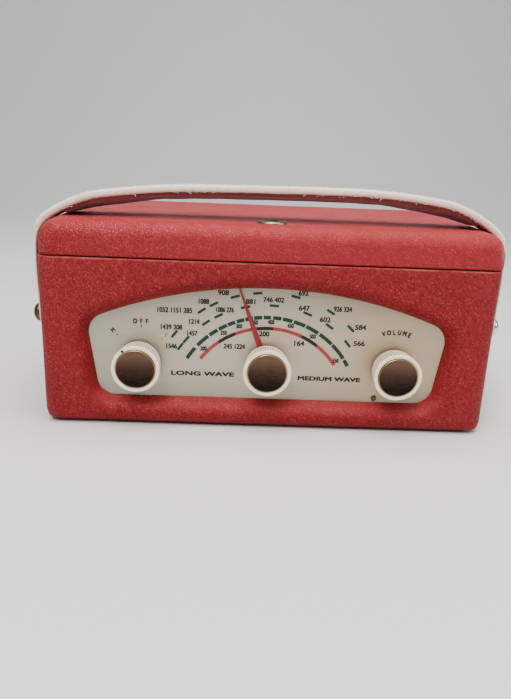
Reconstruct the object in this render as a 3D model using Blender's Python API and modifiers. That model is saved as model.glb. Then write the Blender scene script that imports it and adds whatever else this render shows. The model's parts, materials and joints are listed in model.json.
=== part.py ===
"""Portable transistor radio in leathercloth, lying on its speaker side.

+X runs to the right along the dial, +Y runs from the dial to the base end with the feet, and
+Z runs from the speaker side up to the opening back cover, called the lid here.
The origin is on the surface that the radio lies on, under the middle of the whole object.
"""

from math import acos, asin, atan2, cos, hypot, pi, radians, sin, sqrt

import bmesh
import bpy
from mathutils import Matrix, Vector

MM = 0.001
GAP = 0.3 * MM  # clearance between pieces that touch in the real radio

# Case
CASE_WIDTH = 244.2 * MM
CASE_DEPTH = 130 * MM
CASE_TOP = 112 * MM
CASE_UNDERSIDE = 1.0 * MM  # the trim round the grille stands this far proud of the case
SEAM_HEIGHT = 93.2 * MM
SEAM_GAP = 0.6 * MM
COVER = 1.2 * MM  # leathercloth over its lining
BOARD = 7 * MM
DIAL_BOARD = 5.5 * MM
UPRIGHT_RADIUS = 8 * MM
UNDER_RADIUS = 6 * MM
LID_END_RADIUS = 12.5 * MM
LID_EDGE_RADIUS = 8 * MM
LID_SHIFT = 0.7 * MM  # the lid has worked a little to the right on its hinges

# Parts that stand out of the case along Y, which set where its middle lies
KNOB_PROUD = 8 * MM
FOOT_HEIGHT = 4 * MM
DIAL_FACE = KNOB_PROUD - (KNOB_PROUD + CASE_DEPTH + FOOT_HEIGHT) / 2
BACK_FACE = DIAL_FACE + CASE_DEPTH

# Window of the dial: a low rectangle with bowed top and rounded corners
WINDOW_TOP = 78.5 * MM
LOW_CORNER = (83.2 * MM, 25.5 * MM, 10 * MM)  # centre x, centre z, radius
HIGH_CORNER = (86.0 * MM, 51.2 * MM, 11 * MM)
LIP_RADIUS = 6 * MM
LIP_DEPTH = 5 * MM
ROLL_STEPS = 4
PANEL_DEPTH = 7.3 * MM
PANEL_THICKNESS = 1.2 * MM
PANEL_SCREWS = {"panel_screw_left": -70 * MM, "panel_screw_right": 61 * MM}

# Controls
AXIS_HEIGHT = 35.6 * MM
AXIS_PITCH = 69.8 * MM
KNOB_BACK = 5 * MM  # depth of a knob's back face behind the dial face
KNOB_LENGTH = KNOB_BACK + KNOB_PROUD
KNOB_RADIUS = 13.1 * MM
KNOB_FRONT_RADIUS = 12.3 * MM
INSERT_RADIUS = 10.5 * MM
SPINDLE_RADIUS = 3 * MM
POINTER_LENGTH = 45 * MM
POINTER_ANGLE = radians(-20.7)
CHASSIS_DEPTH = 16.5 * MM
CHASSIS_SHEET = 1.2 * MM

# Handle
STUD_DEPTH = 17 * MM
STUD_HEIGHT = 59 * MM
STRAP_WIDTH = 22 * MM
STRAP_LEAN = radians(10)
STRAP_APEX = 127 * MM
STRAP_SLOPE = 0.011  # the strap stands higher to the right
STRAP_END_RADIUS = 7 * MM
STRAP_FOOT = 123.4 * MM  # how far out the strap's middle lies at a stud
STRAP_THICK = 4.7 * MM
STRAP_THIN = 1.4 * MM
STRAP_FLAT = (120 * MM, 24 * MM)  # how far out the lean ends, and the length it fades over
STRAP_PADDING = (97 * MM, 10 * MM)  # how low the padding ends, and the height it fades over
LINING = 1.2 * MM
LINING_WIDTH = 19 * MM
LINING_REACH = 104 * MM  # the lining ends where the strap bends down

# Catch and hinge of the lid
TONGUE_HEIGHT = 84.4 * MM
KEEPER_HEIGHT = 87 * MM
KEEPER_TOP = 92 * MM
CATCH_DEPTH = 16 * MM
HINGE_HEIGHT = SEAM_HEIGHT
HINGE_AXIS = BACK_FACE + 2.3 * MM
HINGE_PLACE = 70 * MM

# Speaker, battery and circuit board
SPEAKER = Vector((-45 * MM, 5.5 * MM, 8.8 * MM))
GRILLE_SIZE = (184 * MM, 92 * MM)
BATTERY_LOW = Vector((40 * MM, 4 * MM, 8.8 * MM))
BATTERY_SIZE = Vector((66 * MM, 52 * MM, 80 * MM))
BOARD_HEIGHT = 59.3 * MM
ROD_PLACE = (-32 * MM, 80 * MM)  # y and z of the aerial rod's axis

MATERIALS = {
    "leathercloth": ((0.40, 0.026, 0.030), 0.55, 0.0),
    "plywood": ((0.52, 0.36, 0.20), 0.80, 0.0),
    "dial_metal": ((0.62, 0.58, 0.50), 0.35, 0.6),
    "cream_plastic": ((0.80, 0.74, 0.62), 0.35, 0.0),
    "copper_disc": ((0.40, 0.24, 0.15), 0.35, 1.0),
    "red_pointer": ((0.60, 0.04, 0.03), 0.40, 0.0),
    "cream_vinyl": ((0.78, 0.72, 0.62), 0.55, 0.0),
    "lining_cloth": ((0.22, 0.03, 0.05), 0.85, 0.0),
    "bright_metal": ((0.75, 0.74, 0.70), 0.22, 1.0),
    "brass": ((0.70, 0.52, 0.24), 0.30, 1.0),
    "steel": ((0.52, 0.53, 0.54), 0.40, 1.0),
    "aluminium": ((0.72, 0.72, 0.72), 0.40, 1.0),
    "rubber": ((0.03, 0.03, 0.03), 0.85, 0.0),
    "speaker_cloth": ((0.10, 0.08, 0.07), 0.95, 0.0),
    "paper_cone": ((0.07, 0.06, 0.05), 0.90, 0.0),
    "magnet": ((0.12, 0.12, 0.13), 0.50, 0.6),
    "laminate": ((0.40, 0.22, 0.08), 0.55, 0.0),
    "ferrite": ((0.06, 0.06, 0.06), 0.60, 0.2),
    "coil": ((0.45, 0.20, 0.07), 0.50, 0.3),
    "black_plastic": ((0.03, 0.03, 0.03), 0.45, 0.0),
    "battery_wrap": ((0.10, 0.14, 0.30), 0.50, 0.0),
}


def clear_scene():
    for item in list(bpy.data.objects):
        bpy.data.objects.remove(item, do_unlink=True)


def new_collection(name):
    collection = bpy.data.collections.new(name)
    bpy.context.scene.collection.children.link(collection)
    return collection


clear_scene()
PARTS = new_collection("portable_radio")
CUTTERS = new_collection("cutters")


def material(name):
    """The named finish, made the first time that it is asked for."""
    found = bpy.data.materials.get(name)
    if found:
        return found
    colour, roughness, metallic = MATERIALS[name]
    made = bpy.data.materials.new(name)
    made.use_nodes = True
    shader = made.node_tree.nodes["Principled BSDF"]
    shader.inputs["Base Color"].default_value = (*colour, 1)
    shader.inputs["Roughness"].default_value = roughness
    shader.inputs["Metallic"].default_value = metallic
    made.diffuse_color = (*colour, 1)
    return made


def add(name, mesh, finish):
    """Adds a part, or a cutter where there is no finish."""
    made = bpy.data.objects.new(name, mesh)
    if finish:
        PARTS.objects.link(made)
        mesh.materials.append(material(finish))
    else:
        CUTTERS.objects.link(made)
        made.hide_render = True
        made.display_type = "WIRE"
    return made


def mesh_from(shape, name):
    mesh = bpy.data.meshes.new(name)
    shape.to_mesh(mesh)
    shape.free()
    return mesh


def smooth(item, angle=35):
    item.data.shade_smooth()
    item.data.set_sharp_from_angle(angle=radians(angle))
    return item


def cube_shape(low, high):
    low, high = Vector(low), Vector(high)
    shape = bmesh.new()
    place = Matrix.Translation((low + high) / 2) @ Matrix.Diagonal((*(high - low), 1))
    bmesh.ops.create_cube(shape, size=1, matrix=place)
    return shape


def box(name, low, high, finish=None, edge=0):
    """A box between two corners, its edges rounded by a small radius."""
    made = add(name, mesh_from(cube_shape(low, high), name), finish)
    if edge:
        bevel = made.modifiers.new("edges", "BEVEL")
        bevel.width = edge
        bevel.segments = 2
        bevel.limit_method = "ANGLE"
    return made


def rounded_block(name, low, high, radii, round_top, finish=None):
    """A block with rounded uprights and a rounded top or underside.

    radii are those of the uprights, of the edges along Y and of the edges along X.
    """
    shape = cube_shape(low, high)
    weights = shape.edges.layers.float.new("bevel_weight_edge")
    rounded_height = high[2] if round_top else low[2]
    upright, along_y, along_x = radii
    for edge in shape.edges:
        start, end = (corner.co for corner in edge.verts)
        if abs(start.z - end.z) > GAP:
            edge[weights] = upright / max(radii)
        elif abs(start.z - rounded_height) < GAP:
            edge[weights] = (along_y if abs(start.x - end.x) < GAP else along_x) / max(radii)
    made = add(name, mesh_from(shape, name), finish)
    bevel = made.modifiers.new("rounding", "BEVEL")
    bevel.width = max(radii)
    bevel.segments = 4
    bevel.limit_method = "WEIGHT"
    bevel.use_clamp_overlap = False
    return made


def baked(item):
    """Gives a piece the mesh that its modifiers make."""
    bpy.context.view_layer.update()
    evaluated = item.evaluated_get(bpy.context.evaluated_depsgraph_get())
    item.data = bpy.data.meshes.new_from_object(evaluated)
    item.modifiers.clear()
    return item


def cylinder(name, start, end, radius, finish=None, sides=16):
    """A round bar between two points."""
    start, end = Vector(start), Vector(end)
    line = end - start
    turn = line.to_track_quat("Z", "Y").to_matrix().to_4x4()
    shape = bmesh.new()
    bmesh.ops.create_cone(
        shape,
        cap_ends=True,
        segments=sides,
        radius1=radius,
        radius2=radius,
        depth=line.length,
        matrix=Matrix.Translation((start + end) / 2) @ turn,
    )
    made = add(name, mesh_from(shape, name), finish)
    return smooth(made) if finish else made


def turned(name, profile, place, direction, finish=None, steps=24, closed=False):
    """A turned piece: radius and height pairs, down its outer side, turned about direction.

    A closed profile is a ring, and its last point joins its first.
    """
    shape = bmesh.new()
    points = [shape.verts.new((radius, 0, height)) for radius, height in profile]
    for first, second in zip(points, points[1:]):
        shape.edges.new((first, second))
    if closed:
        shape.edges.new((points[-1], points[0]))
    made = add(name, mesh_from(shape, name), finish)
    made.location = place
    made.rotation_euler = Vector(direction).to_track_quat("Z", "Y").to_euler()
    screw = made.modifiers.new("turning", "SCREW")
    screw.steps = screw.render_steps = steps
    screw.use_merge_vertices = True
    screw.merge_threshold = 0.00001
    return smooth(baked(made))


def flat_piece(name, outline, low, thickness, finish=None):
    """A flat piece in a plane of constant Y, from an outline of x and z pairs."""
    curve = bpy.data.curves.new(name, "CURVE")
    curve.dimensions = "2D"
    curve.fill_mode = "BOTH"
    curve.extrude = thickness / 2
    line = curve.splines.new("POLY")
    line.points.add(len(outline) - 1)
    for point, (x, z) in zip(line.points, outline):
        point.co = (x, z, 0, 1)
    line.use_cyclic_u = True
    drawn = bpy.data.objects.new(name + "_outline", curve)
    CUTTERS.objects.link(drawn)
    bpy.context.view_layer.update()
    evaluated = drawn.evaluated_get(bpy.context.evaluated_depsgraph_get())
    mesh = bpy.data.meshes.new_from_object(evaluated)
    bpy.data.objects.remove(drawn, do_unlink=True)
    shape = bmesh.new()
    shape.from_mesh(mesh)
    bmesh.ops.remove_doubles(shape, verts=shape.verts, dist=0.00001)
    upright = Matrix.Translation((0, low + thickness / 2, 0)) @ Matrix.Rotation(pi / 2, 4, "X")
    bmesh.ops.transform(shape, matrix=upright, verts=shape.verts)
    bmesh.ops.recalc_face_normals(shape, faces=shape.faces)
    shape.to_mesh(mesh)
    shape.free()
    return add(name, mesh, finish)


def loft(name, sections, finish=None):
    """A closed skin through rings of equal length, each band split the same way along Y."""
    shape = bmesh.new()
    rings = [[shape.verts.new(point) for point in section] for section in sections]
    for ring, after in zip(rings, rings[1:]):
        for here in range(len(ring)):
            near, far = sorted((here, (here + 1) % len(ring)), key=lambda spot: ring[spot].co.y)
            shape.faces.new((ring[near], ring[far], after[far]))
            shape.faces.new((ring[near], after[far], after[near]))
    shape.faces.new(rings[0])
    shape.faces.new(rings[-1])
    bmesh.ops.recalc_face_normals(shape, faces=shape.faces)
    return add(name, mesh_from(shape, name), finish)


def cut(target, *cutters):
    for cutter in cutters:
        modifier = target.modifiers.new("cut " + cutter.name, "BOOLEAN")
        modifier.operation = "DIFFERENCE"
        modifier.object = cutter
    return target


def cut_as_closed(target):
    """Sets a piece's cuts to the solver for closed meshes, where the exact one leaves cracks."""
    for modifier in target.modifiers:
        if modifier.type == "BOOLEAN":
            modifier.solver = "MANIFOLD"


def join(target, *others):
    for other in others:
        modifier = target.modifiers.new("join " + other.name, "BOOLEAN")
        modifier.operation = "UNION"
        modifier.object = other
    return target


def pivot(name, place):
    """An empty on a joint's axis."""
    empty = bpy.data.objects.new(name, None)
    empty.location = place
    empty.empty_display_size = 10 * MM
    PARTS.objects.link(empty)
    return empty


def hang(empty, *pieces):
    """Parents pieces to an empty and leaves them where they are."""
    bpy.context.view_layer.update()
    for piece in pieces:
        piece.parent = empty
        piece.matrix_parent_inverse = empty.matrix_world.inverted()


def behind_dial(depth):
    return DIAL_FACE + depth


def arc(centre_x, centre_z, radius, start, end, steps):
    for step in range(steps + 1):
        angle = start + (end - start) * step / steps
        yield centre_x + radius * cos(angle), centre_z + radius * sin(angle)


def window_outline(grow=0.0):
    """The window's outline, offset outwards, anticlockwise seen from the dial side."""
    low_x, low_z, low_radius = LOW_CORNER
    high_x, high_z, high_radius = HIGH_CORNER
    climb = atan2(high_z - low_z, high_x - low_x)
    spacing = hypot(high_x - low_x, high_z - low_z)
    side = climb - acos((low_radius - high_radius) / spacing)
    drop = high_z - WINDOW_TOP
    bow = (high_x**2 + drop**2 - high_radius**2) / (-2 * (drop + high_radius))
    bow_centre = WINDOW_TOP - bow
    bow_start = atan2(high_z - bow_centre, high_x)
    right = list(arc(low_x, low_z, low_radius + grow, -pi / 2, side, 4))
    right += arc(high_x, high_z, high_radius + grow, side, bow_start, 4)
    right += list(arc(0, bow_centre, bow + grow, bow_start, pi / 2, 5))[1:]
    return right + [(-x, z) for x, z in right[-2::-1]]


def window_section(depth, grow):
    return [(x, behind_dial(depth), z) for x, z in window_outline(grow)]


def rolled_window(name, inset, start_depth, end_depth):
    """A block that fills the window up to the rolled edge, less an inset into the roll."""
    roll = LIP_RADIUS - inset
    sections = [window_section(start_depth, LIP_RADIUS), window_section(inset, LIP_RADIUS)]
    for step in range(1, ROLL_STEPS + 1):
        depth = inset + (LIP_DEPTH - inset) * step / ROLL_STEPS
        grow = LIP_RADIUS - sqrt(roll**2 - (LIP_RADIUS - depth) ** 2)
        sections.append(window_section(depth, grow))
    if end_depth > LIP_DEPTH:
        sections.append(window_section(end_depth, grow))
    return loft(name, sections)


def case_corners(inset, low_z, high_z):
    low = (-CASE_WIDTH / 2 + inset, DIAL_FACE + inset, low_z)
    high = (CASE_WIDTH / 2 - inset, BACK_FACE - inset, high_z)
    return low, high


def body_block(name, inset, low_z, high_z, finish=None):
    radii = [radius - inset for radius in (UPRIGHT_RADIUS, UNDER_RADIUS, UNDER_RADIUS)]
    return rounded_block(name, *case_corners(inset, low_z, high_z), radii, False, finish)


def lid_block(name, inset, low_z, high_z, finish=None):
    radii = [radius - inset for radius in (UPRIGHT_RADIUS, LID_END_RADIUS, LID_EDGE_RADIUS)]
    low, high = (
        (x + LID_SHIFT, y, z) for x, y, z in case_corners(inset, low_z, high_z)
    )
    return rounded_block(name, low, high, radii, True, finish)


def cavity(name, low_z, high_z):
    """The space inside the boards."""
    low = (-CASE_WIDTH / 2 + COVER + GAP + BOARD, DIAL_FACE + COVER + GAP + DIAL_BOARD, low_z)
    high = (CASE_WIDTH / 2 - COVER - GAP - BOARD, BACK_FACE - COVER - GAP - BOARD, high_z)
    return box(name, low, high)


BODY_TOP = SEAM_HEIGHT - SEAM_GAP / 2
LID_BOTTOM = SEAM_HEIGHT + SEAM_GAP / 2
BOARD_INSET = COVER + GAP
BAFFLE_TOP = CASE_UNDERSIDE + BOARD_INSET + 6 * MM
STUD_Y = behind_dial(STUD_DEPTH)
CATCH_Y = behind_dial(CATCH_DEPTH)


def stud_hole(name):
    edge = CASE_WIDTH / 2 + 20 * MM
    return cylinder(name, (-edge, STUD_Y, STUD_HEIGHT), (edge, STUD_Y, STUD_HEIGHT), 2.4 * MM)


def grille_opening(name, low_z, high_z):
    width, depth = GRILLE_SIZE
    low, high = (-width / 2, -depth / 2, low_z), (width / 2, depth / 2, high_z)
    return box(name, low, high)


def make_case():
    """Plywood carcass, its leathercloth, the dial panel and the base feet."""
    carcass = body_block("carcass", BOARD_INSET, CASE_UNDERSIDE + BOARD_INSET, BODY_TOP, "plywood")
    rebate = loft(
        "panel_rebate",
        [window_section(LIP_DEPTH, 3.6 * MM), window_section(9 * MM, 3.6 * MM)],
    )
    speaker_low = SPEAKER - Vector((0, 0, 10 * MM))
    speaker_hole = cylinder("speaker_hole", speaker_low, SPEAKER, 42 * MM, sides=24)
    cut(
        carcass,
        cavity("case_cavity", BAFFLE_TOP, CASE_TOP),
        rolled_window("carcass_window", BOARD_INSET, 0, LIP_DEPTH + MM),
        rebate,
        speaker_hole,
        stud_hole("carcass_stud_hole"),
    )
    cover = body_block("body_leathercloth", 0, CASE_UNDERSIDE, BODY_TOP, "leathercloth")
    cut(
        cover,
        body_block("cover_inside", COVER, CASE_UNDERSIDE + COVER, CASE_TOP),
        grille_opening("cover_grille_opening", -5 * MM, 2.4 * MM),
        stud_hole("cover_stud_hole"),
    )
    join(cover, rolled_window("window_roll", COVER, COVER / 2, LIP_DEPTH))
    cut(cover, rolled_window("cover_window", 0, -3 * MM, 9 * MM))
    cut_as_closed(cover)
    for side in (-1, 1):
        for height in (19 * MM, 71 * MM):
            make_foot(side, height)


def make_foot(side, height):
    place = (side * 98 * MM, BACK_FACE + GAP, height)
    length = FOOT_HEIGHT - GAP
    profile = [(0, length), (5.4 * MM, length), (6.2 * MM, length - 0.8 * MM), (7 * MM, 0), (0, 0)]
    name = f"foot_{'left' if side < 0 else 'right'}_{'low' if height < 50 * MM else 'high'}"
    return turned(name, profile, place, (0, 1, 0), "rubber", 18)


def make_grille():
    """Trim frame, perforated grille and dark cloth on the speaker side."""
    width, depth = GRILLE_SIZE
    flange = 6 * MM
    low = (-width / 2 - flange, -depth / 2 - flange, 0)
    high = (width / 2 + flange, depth / 2 + flange, CASE_UNDERSIDE - GAP)
    frame = box("grille_frame", low, high, "bright_metal")
    lip = 2 * MM
    low = (-width / 2 + lip, -depth / 2 + lip, -5 * MM)
    cut(frame, box("grille_frame_opening", low, (width / 2 - lip, depth / 2 - lip, 5 * MM)))
    side = 0.5 * MM
    low = (-width / 2 + side, -depth / 2 + side, CASE_UNDERSIDE)
    high = (width / 2 - side, depth / 2 - side, CASE_UNDERSIDE + 0.6 * MM)
    grille = box("speaker_grille", low, high, "bright_metal")
    cut(grille, slots())
    low = (low[0], low[1], CASE_UNDERSIDE + 0.9 * MM)
    high = (high[0], high[1], CASE_UNDERSIDE + 1.2 * MM)
    box("speaker_cloth", low, high, "speaker_cloth")


def slots():
    """Three rows of upright slots, as one cutter."""
    shape = bmesh.new()
    rows, columns, pitch = 3, 14, Vector((12.4 * MM, 28 * MM))
    size = Matrix.Diagonal((6 * MM, 24 * MM, 6 * MM, 1))
    for row in range(rows):
        for column in range(columns):
            x, y = (column - (columns - 1) / 2) * pitch.x, (row - (rows - 1) / 2) * pitch.y
            middle = (x, y, CASE_UNDERSIDE)
            bmesh.ops.create_cube(shape, size=1, matrix=Matrix.Translation(middle) @ size)
    return add("grille_slots", mesh_from(shape, "grille_slots"), None)


def make_dial_panel():
    """The dial plate with its spindle holes, and the two screws along its lower edge."""
    low = behind_dial(PANEL_DEPTH)
    panel = flat_piece("dial_panel", window_outline(5 * MM), low, PANEL_THICKNESS, "dial_metal")
    cut(panel, *spindle_holes("panel_hole", PANEL_DEPTH, 4 * MM))
    for name, x in PANEL_SCREWS.items():
        head = [(0, 0.9 * MM), (1.3 * MM, 0.7 * MM), (1.9 * MM, 0), (0, 0)]
        turned(name, head, (x, low - GAP, 17.9 * MM), (0, -1, 0), "steel", 14)


def spindle_holes(name, depth, radius):
    for column in (-1, 0, 1):
        start = (column * AXIS_PITCH, behind_dial(depth - 3 * MM), AXIS_HEIGHT)
        end = (column * AXIS_PITCH, behind_dial(depth + 5 * MM), AXIS_HEIGHT)
        yield cylinder(f"{name}_{column + 1}", start, end, radius)


def make_knob(name, column):
    """A fluted knob, its metal disc and its spindle, on an empty on their axis."""
    place = Vector((column * AXIS_PITCH, behind_dial(KNOB_BACK), AXIS_HEIGHT))
    floor, bore = KNOB_LENGTH - 1.6 * MM, SPINDLE_RADIUS + 0.2 * MM
    rim = KNOB_FRONT_RADIUS
    profile = [
        (0, floor),
        (INSERT_RADIUS + GAP, floor),
        (INSERT_RADIUS + GAP, KNOB_LENGTH - 0.2 * MM),
        (INSERT_RADIUS + 0.8 * MM, KNOB_LENGTH),
        (rim - 0.5 * MM, KNOB_LENGTH - 0.2 * MM),
        (rim, KNOB_LENGTH - 0.9 * MM),
        (KNOB_RADIUS, 0.8 * MM),
        (KNOB_RADIUS - 0.4 * MM, 0),
        (bore, 0),
        (bore, 10 * MM),
        (0, 10 * MM),
    ]
    knob = turned(f"{name}_knob", profile, place, (0, -1, 0), "cream_plastic", 28)
    seat = floor + GAP
    profile = [
        (0, seat + 0.5 * MM),
        (6.5 * MM, seat + 0.6 * MM),
        (9.3 * MM, seat + 0.9 * MM),
        (INSERT_RADIUS - 0.3 * MM, KNOB_LENGTH - 0.1 * MM),
        (INSERT_RADIUS, KNOB_LENGTH - 0.2 * MM),
        (INSERT_RADIUS, seat),
        (0, seat),
    ]
    disc = turned(f"{name}_knob_disc", profile, place, (0, -1, 0), "copper_disc", 28)
    end = CHASSIS_DEPTH + CHASSIS_SHEET + (5 * MM if column else -GAP)
    spindle = cylinder(
        f"{name}_spindle",
        place - Vector((0, 10 * MM - GAP, 0)),
        (place.x, behind_dial(end), place.z),
        SPINDLE_RADIUS,
        "steel",
    )
    axis = pivot(f"{name}_axis", place)
    hang(axis, knob, disc, spindle)
    return axis


def make_pointer(axis):
    """A tapered pointer with a hub round the tuning spindle."""
    hub, half_base, half_tip = 6 * MM, 1.8 * MM, 0.4 * MM
    spread = asin(half_base / hub)
    outline = list(arc(0, 0, hub, pi / 2 + spread, 5 * pi / 2 - spread, 16))
    outline += [(half_tip, POINTER_LENGTH), (-half_tip, POINTER_LENGTH)]
    turn = Matrix.Rotation(-POINTER_ANGLE, 2)
    placed = []
    for point in outline:
        x, z = turn @ Vector(point)
        placed.append((x, z + AXIS_HEIGHT))
    depth = KNOB_BACK + 0.4 * MM
    pointer = flat_piece("tuning_pointer", placed, behind_dial(depth), 0.7 * MM, "red_pointer")
    start = (0, behind_dial(depth - 3 * MM), AXIS_HEIGHT)
    end = (0, behind_dial(depth + 3 * MM), AXIS_HEIGHT)
    cut(pointer, cylinder("pointer_hole", start, end, SPINDLE_RADIUS + 0.2 * MM))
    hang(axis, pointer)


def make_chassis():
    """Sheet chassis with the circuit board, and the round control bodies behind the dial."""
    front, sheet = behind_dial(CHASSIS_DEPTH), CHASSIS_SHEET
    back = front + sheet
    shelf_top = BOARD_HEIGHT - GAP
    chassis = box(
        "chassis",
        (-112.2 * MM, front, 15 * MM),
        (112.2 * MM, back, shelf_top),
        "steel",
    )
    low = (-92 * MM, front + sheet / 2, shelf_top - sheet)
    join(chassis, box("chassis_shelf", low, (92 * MM, -14 * MM, shelf_top)))
    cut(chassis, *spindle_holes("chassis_hole", CHASSIS_DEPTH, 4 * MM))
    low = (-108 * MM, -24 * MM, BOARD_HEIGHT)
    box("circuit_board", low, (34 * MM, 56 * MM, BOARD_HEIGHT + 1.6 * MM), "laminate")
    make_control_body("wave_switch_body", -1, 14 * MM, 14 * MM, "laminate")
    make_control_body("volume_control_body", 1, 11 * MM, 10 * MM, "bright_metal")


def make_control_body(name, column, radius, length, finish):
    place = (column * AXIS_PITCH, behind_dial(CHASSIS_DEPTH + CHASSIS_SHEET) + GAP, AXIS_HEIGHT)
    bore = SPINDLE_RADIUS + GAP
    profile = [
        (0, length),
        (radius - 0.8 * MM, length),
        (radius, length - 0.8 * MM),
        (radius, 0),
        (bore, 0),
        (bore, 5.2 * MM),
        (0, 5.2 * MM),
    ]
    return turned(name, profile, place, (0, 1, 0), finish, 18)


def make_tuning_capacitor(axis):
    """A frame and a fixed stack of vanes, with the moving vanes on the tuning axis."""
    start = CHASSIS_DEPTH + CHASSIS_SHEET + GAP
    front, back = behind_dial(start), behind_dial(start + 22 * MM)
    half, sheet = 17 * MM, 1.2 * MM
    low, high = AXIS_HEIGHT - 16 * MM, AXIS_HEIGHT + 16 * MM
    frame = box("capacitor_frame", (-half, front, low), (half, back, low + sheet), "steel")
    join(
        frame,
        box("frame_front", (-half, front, low), (half, front + sheet, high)),
        box("frame_back", (-half, back - sheet, low), (half, back, high)),
    )
    hole = ((0, front - MM, AXIS_HEIGHT), (0, back + MM, AXIS_HEIGHT))
    cut(frame, cylinder("frame_bearing", *hole, SPINDLE_RADIUS + 0.5 * MM))
    post_low = (15 * MM, front + 6 * MM, low + sheet / 2)
    join(frame, box("vane_post", post_low, (16.5 * MM, front + 12 * MM, high - MM)))
    for number in range(2):
        y = front + (6 + 5 * number) * MM
        vane = box(
            f"fixed_vane_{number}",
            (4.4 * MM, y, low + 4 * MM),
            (15.8 * MM, y + MM, high - 4 * MM),
        )
        join(frame, vane)
    shaft = ((0, front + GAP, AXIS_HEIGHT), (0, back + MM, AXIS_HEIGHT))
    rotor = cylinder("moving_vanes", *shaft, SPINDLE_RADIUS, "aluminium")
    for number in range(3):
        y = front + (3.6 + 5 * number) * MM
        outline = [(x, z + AXIS_HEIGHT) for x, z in arc(0, 0, 14 * MM, pi / 2, 3 * pi / 2, 10)]
        join(rotor, flat_piece(f"moving_vane_{number}", outline, y, MM))
    hang(axis, rotor)


def make_aerial():
    """Ferrite rod with two coils, held at each end by a block on the chassis shelf."""
    y, z = ROD_PLACE
    cylinder("ferrite_rod", (-95 * MM, y, z), (95 * MM, y, z), 4.8 * MM, "ferrite")
    for name, start, end in (("long_wave_coil", -64, -34), ("medium_wave_coil", 36, 60)):
        profile = [(7.4 * MM, (end - start) * MM), (7.4 * MM, 0), (5.1 * MM, 0)]
        profile.append((5.1 * MM, (end - start) * MM))
        turned(name, profile, (start * MM, y, z), (1, 0, 0), "coil", 16, True)
    for side, name in ((-1, "left"), (1, "right")):
        near, far = sorted((side * 80 * MM, side * 87 * MM))
        low, high = (near, y - 7 * MM, BOARD_HEIGHT), (far, y + 7 * MM, z + 7 * MM)
        holder = box(f"rod_holder_{name}", low, high, "rubber")
        cut(holder, cylinder(f"rod_hole_{name}", (near - MM, y, z), (far + MM, y, z), 5.1 * MM))


def make_circuit():
    """Cans, transformers, transistors and a capacitor on the board."""
    top = BOARD_HEIGHT + 1.6 * MM + GAP
    for number, x in enumerate((-92, -62, -32)):
        low, high = (x * MM, 38 * MM, top), ((x + 10) * MM, 48 * MM, top + 14 * MM)
        box(f"tuned_can_{number + 1}", low, high, "aluminium", 0.8 * MM)
    low = (-100 * MM, -12 * MM, top)
    box("driver_transformer", low, (-82 * MM, 2 * MM, top + 15 * MM), "steel", MM)
    low = (-8 * MM, 26 * MM, top)
    box("output_transformer", low, (16 * MM, 46 * MM, top + 19 * MM), "steel", MM)
    for number, x in enumerate((-62, -42)):
        can = [(0, 7 * MM), (3 * MM, 7 * MM), (3.8 * MM, 6 * MM), (3.8 * MM, 0), (0, 0)]
        turned(f"transistor_{number + 1}", can, (x * MM, 10 * MM, top), (0, 0, 1), "aluminium", 16)
    y, z = 4 * MM, top + 5 * MM
    cylinder("smoothing_capacitor", (-8 * MM, y, z), (16 * MM, y, z), 5 * MM, "aluminium")


def make_speaker():
    """Frame, cone and magnet, with the cone's mouth down on the baffle."""
    frame = [(9, 27), (24, 27), (44, 3.4), (51, 3.4), (51, 0), (43, 0), (43, 2.4), (23, 25.8)]
    frame.append((9, 25.8))
    turned("speaker_frame", in_mm(frame), SPEAKER, (0, 0, 1), "steel", 28, True)
    cone = [(0, 19), (9, 22.4), (10.5, 22.4), (42.3, 2), (42.3, 0.4), (41.3, 0.4), (10, 20.9)]
    cone.append((0, 17.8))
    turned("speaker_cone", in_mm(cone), SPEAKER, (0, 0, 1), "paper_cone", 24)
    magnet = [(0, 41), (19, 41), (20, 40), (20, 27.3), (0, 27.3)]
    turned("speaker_magnet", in_mm(magnet), SPEAKER, (0, 0, 1), "magnet", 20)


def in_mm(pairs):
    return [(radius * MM, height * MM) for radius, height in pairs]


def make_battery():
    """The large layer battery and the plate of its two press studs."""
    high = BATTERY_LOW + BATTERY_SIZE
    box("battery", BATTERY_LOW, high, "battery_wrap", 1.5 * MM)
    low = (BATTERY_LOW.x + 10 * MM, BATTERY_LOW.y + 16 * MM, high.z + GAP)
    top = (high.x - 10 * MM, high.y - 16 * MM, high.z + 3 * MM)
    box("battery_connector", low, top, "black_plastic", 0.8 * MM)


def make_lid():
    """The opening back cover: a shallow plywood tray under leathercloth."""
    tray = lid_block("lid_board", BOARD_INSET, LID_BOTTOM, CASE_TOP - BOARD_INSET, "plywood")
    catch_line = (0, CATCH_Y, LID_BOTTOM), (0, CATCH_Y, CASE_TOP + MM)
    roof = CASE_TOP - BOARD_INSET - 6 * MM
    tray_hole = cylinder("tray_catch_hole", *catch_line, 7.5 * MM)
    cut(tray, cavity("lid_cavity", 80 * MM, roof), tray_hole)
    cover = lid_block("lid_leathercloth", 0, LID_BOTTOM, CASE_TOP, "leathercloth")
    inside = lid_block("lid_cover_inside", COVER, 80 * MM, CASE_TOP - COVER)
    cut(cover, inside, cylinder("cover_catch_hole", *catch_line, 7.5 * MM))
    cut_as_closed(cover)
    leaves = [make_hinge(side) for side in (-1, 1)]
    bezel = [(8.2, 0.7), (8.0, 1.0), (6.6, 1.0), (6.4, 0.8), (6.4, -8), (7.2, -8), (7.2, 0.3), (8.2, 0.3)]
    bezel = in_mm(bezel[:1] + bezel[:0:-1])
    plate = turned("catch_bezel", bezel, (0, CATCH_Y, CASE_TOP), (0, 0, 1), "bright_metal", 24, True)
    axis = pivot("lid_axis", (0, HINGE_AXIS, HINGE_HEIGHT))
    hang(axis, tray, cover, plate, *leaves)
    return axis


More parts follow.
